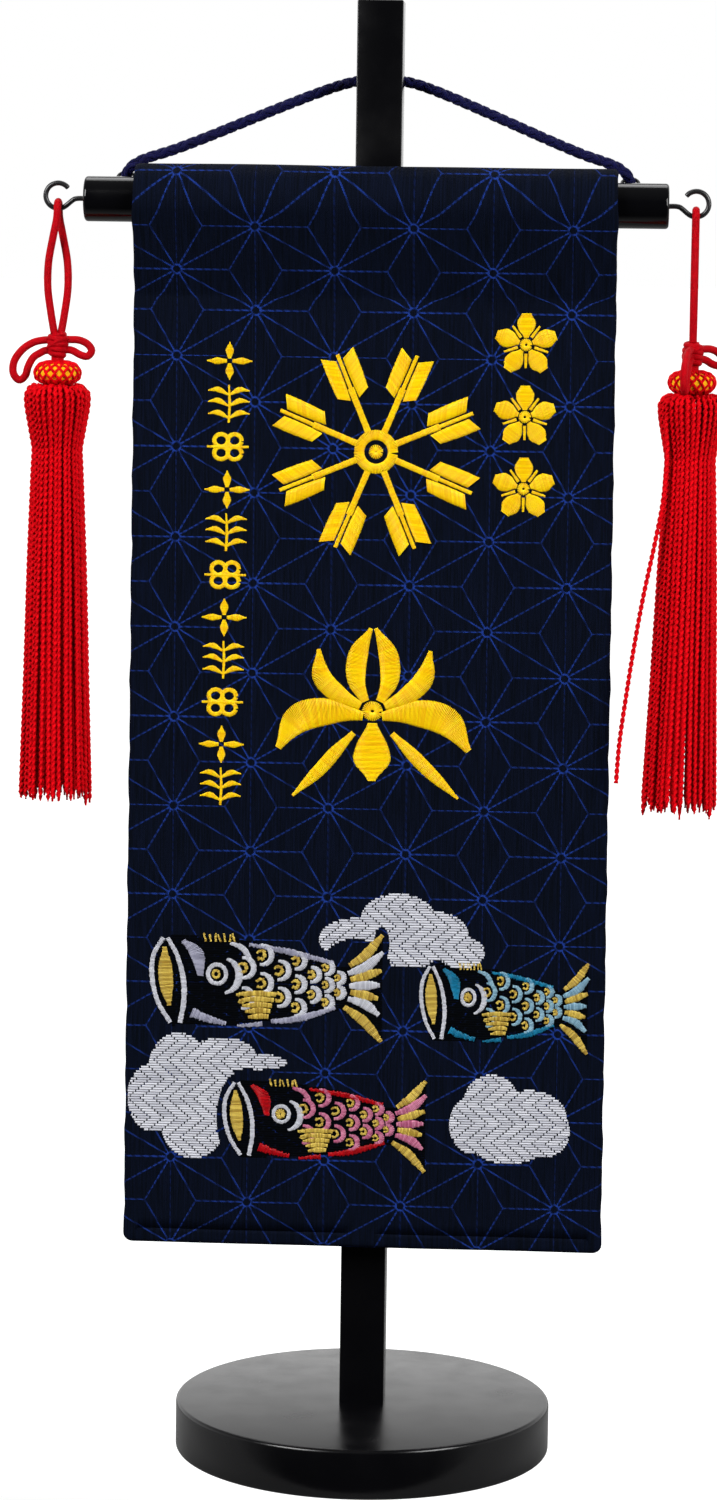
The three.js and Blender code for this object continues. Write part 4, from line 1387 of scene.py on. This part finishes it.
# %% skirt material
red_strand = fibre_material(
    "twisted_red_rayon_cord", "#EC0012", "#C0000A", 0.0006, 0.6, 0.03, "#FF2020"
)
SKIRT_TOP, SKIRT_LENGTH = 430.2, 165.0
PROFILE_Z = np.array([0.6, -0.8, -3.0, -8, -14, -24, -34.6, -67.6, -112, -162, -165])
PROFILE_R = np.array([10.6, 12.7, 13.3, 13.0, 11.9, 10.1, 10.6, 11.9, 13.3, 15.2, 15.3])


def skirt_strand(bundle, chance, angle, layer, origin, step, drift, waist=1.0):
    """One twisted cord from under the head down to the hem, with its own slow wander."""
    length = SKIRT_LENGTH - chance.uniform(0.0, 4.0)
    z = -np.arange(-0.4, length, 2.5)
    radius = np.interp(-z, -PROFILE_Z, PROFILE_R) * layer - 0.95
    share = np.maximum(-z, 0) / SKIRT_LENGTH
    phase = chance.uniform(0, 6.28)
    wander = 0.035 * share * np.sin(4.2 * share + phase) + chance.uniform(-0.035, 0.035) * share
    radius = radius - 0.5 * share * (1 + np.sin(5 * share + phase * 1.7)) * chance.uniform(0.2, 1.0)
    turned = angle + wander
    x = radius * np.cos(turned) + drift * share**1.5
    y = radius * np.sin(turned)
    z = z - chance.uniform(-0.2, 1.4) * np.exp(z / 4.0)
    start = (3.2 * layer * math.cos(angle), 3.2 * layer * math.sin(angle), -1.2)
    points = [start] + [tuple(p) for p in np.stack([x, y, z], 1)]
    route = smooth_route(origin + np.array(points), step)
    along = np.linspace(0, 1, len(route))
    twist = 2 * np.pi * along * route_length(route) / 5.0 + phase
    taper = np.clip((1 - along) * len(route) / 3.0, 0.45, 1.0)
    bundle.strand(route, 1.08, 0.78, turns=twist, sides=8, taper=taper, waist=waist)


OUTER_CORDS = 33
INNER_RINGS = ((22, 0.5, 0.78, 1.3), (12, 0.0, 0.48, 1.6))  # cords, offset, layer, step along
for label, (side, *_) in TASSELS.items():
    origin = tassel_origin(side) + np.array([0, 0, SKIRT_TOP - WIRE_Z])
    chance = random.Random(60 + side)
    drift = -1.4 if side > 0 else 0.0
    outer, inner = Bundle(), Bundle()
    for k in range(OUTER_CORDS):
        angle = 2 * math.pi * (k + chance.uniform(-0.12, 0.12)) / OUTER_CORDS
        skirt_strand(outer, chance, angle, 1.0, origin, 0.66, drift, 0.62)
    for count, offset, layer, step in INNER_RINGS:
        for k in range(count):
            angle = 2 * math.pi * (k + offset) / count
            skirt_strand(inner, chance, angle, layer, origin, step, drift)
    made = outer.piece("skirt_" + label, red_strand)
    belongs(made, "tassel_" + label, "red_silk", "tassel_skirt_" + label)
    belongs(inner.piece("skirt_core_" + label, red_strand), "tassel_" + label, "red_silk")

# %% [markdown]
# One cord of the right tassel has worked loose. It leaves the skirt a third of the way
# down and hangs beside the banner's edge, in front of the cloth.

# %% loose strand
loose = Bundle()
origin = tassel_origin(1) + np.array([0, 0, SKIRT_TOP - WIRE_Z])
loose_points = [
    (-7.0, -6.0, -1.5), (-9.6, -8.0, -8.0), (-9.2, -8.0, -22.0), (-10.4, -8.4, -40.0),
    (-13.0, -8.6, -55.5), (-17.5, -8.6, -79.0), (-20.6, -8.6, -98.6), (-23.3, -8.5, -118.3),
    (-25.4, -8.5, -136.1), (-26.3, -8.5, -151.0),
]
route = smooth_route(origin + np.array(loose_points), 0.66)
turned = np.linspace(0, 2 * np.pi * route_length(route) / 5.0, len(route))
loose.strand(route, 1.08, 0.78, turns=turned, sides=8, waist=0.62)
belongs(loose.piece("skirt_loose_strand", red_strand), "tassel_right", "red_silk")
print("loose strand mm", round(route_length(route), 1))

# %% [markdown]
# The head is a ball of golden floss under a net of red cord. The net is sixteen cords
# winding each way from the top hole to the bottom one, passing over and under, and the
# gold shows through its gaps as small bright flecks.

# %% head
golden_floss = fibre_material(
    "golden_floss_rayon", "#FFC81E", "#F0A008", 0.0006, 0.45, 0.1, "#FFE9A0"
)
HEAD_TOP, HEAD_HEIGHT, HEAD_RADIUS, NET_CORDS = 441.1, 10.6, 9.75, 16
HEAD_MIDDLE = HEAD_TOP - WIRE_Z - HEAD_HEIGHT / 2
NET_TURN = 0.5 * math.pi


def fuller(v):
    return math.copysign(abs(v) ** 0.8, v)


def head_point(share, angle, shrink):
    """A point on the plump ball: share runs from the top, 0, to the bottom, 1."""
    rise = math.pi * (0.5 - share)
    r = (HEAD_RADIUS - shrink) * fuller(math.cos(rise))
    z = HEAD_MIDDLE + (HEAD_HEIGHT / 2 - shrink) * fuller(math.sin(rise))
    return r * math.cos(angle), r * math.sin(angle), z


for label, (side, *_) in TASSELS.items():
    origin = tassel_origin(side)
    ball, net = Bundle(), Bundle()
    profile = np.array([head_point(share, 0.0, 0.95) for share in np.linspace(0.05, 0.95, 25)])
    ball.strand(origin + profile * (0, 0, 1), 1.0, 1.0, sides=40, taper=profile[:, 0])
    belongs(ball.piece("head_ball_" + label, golden_floss), "tassel_" + label, "red_gold_head")
    for way in (1, -1):
        for k in range(NET_CORDS):
            track = []
            for share in np.linspace(0.05, 0.95, 30):
                turned = way * NET_TURN * (share - 0.5)
                crossing = math.cos(NET_CORDS * turned) * (1 if k % 2 else -1) * way
                angle = 2 * math.pi * k / NET_CORDS + turned
                track.append(head_point(share, angle, 0.75 - 0.2 * crossing))
            track = smooth_route(origin + np.array(track), 0.6)
            outward = track - (origin + [0, 0, HEAD_MIDDLE])
            outward /= np.linalg.norm(outward, axis=1)[:, None]
            net.strand(track, 0.52, 0.45, outward=outward)
    made = net.piece("head_net_" + label, red_strand)
    belongs(made, "tassel_" + label, "red_gold_head", "tassel_head_" + label)

# %% [markdown]
# The knot is the loop's own cord, wound four times round itself above the head and
# pulled tight, with one diagonal wrap across the front.

# %% wrapped knot
KNOT_TOP, KNOT_HEIGHT, WRAPS = 452.3, 10.9, 4.2
for label, (side, *_) in TASSELS.items():
    origin = tassel_origin(side) + np.array([0, 0, KNOT_TOP - WIRE_Z])
    knot = Bundle()
    wraps = []
    for a in np.linspace(0, WRAPS * 2 * math.pi, 70):
        share = a / (WRAPS * 2 * math.pi)
        bulge = abs(2 * share - 1)
        reach = 3.15 - 0.95 * bulge**2.5
        rise = -1.2 - (KNOT_HEIGHT - 2.4) * share + 0.25 * math.sin(2 * a) * (1 - bulge)
        wraps.append((reach * math.cos(a + side), reach * math.sin(a + side), rise))
    knot.strand(smooth_route(origin + np.array(wraps), 0.6), 1.28, 1.2, sides=10)
    strap = [
        (3.5 * math.sin(a), -3.5 * math.cos(a), -5.3 + 2.2 * math.sin(a + 0.4))
        for a in np.linspace(-1.25, 1.25, 9)
    ]
    knot.strand(smooth_route(origin + np.array(strap), 0.6), 1.15, 0.95, sides=10)
    core = [(0, 0, -0.8), (0, 0, -KNOT_HEIGHT / 2), (0, 0, -KNOT_HEIGHT - 1.2)]
    knot.strand(smooth_route(origin + np.array(core), 0.8), 2.5, 2.5, sides=12)
    made = knot.piece("wrapped_knot_" + label, red_cord)
    belongs(made, "tassel_" + label, "red_silk", "tassel_knot_" + label)
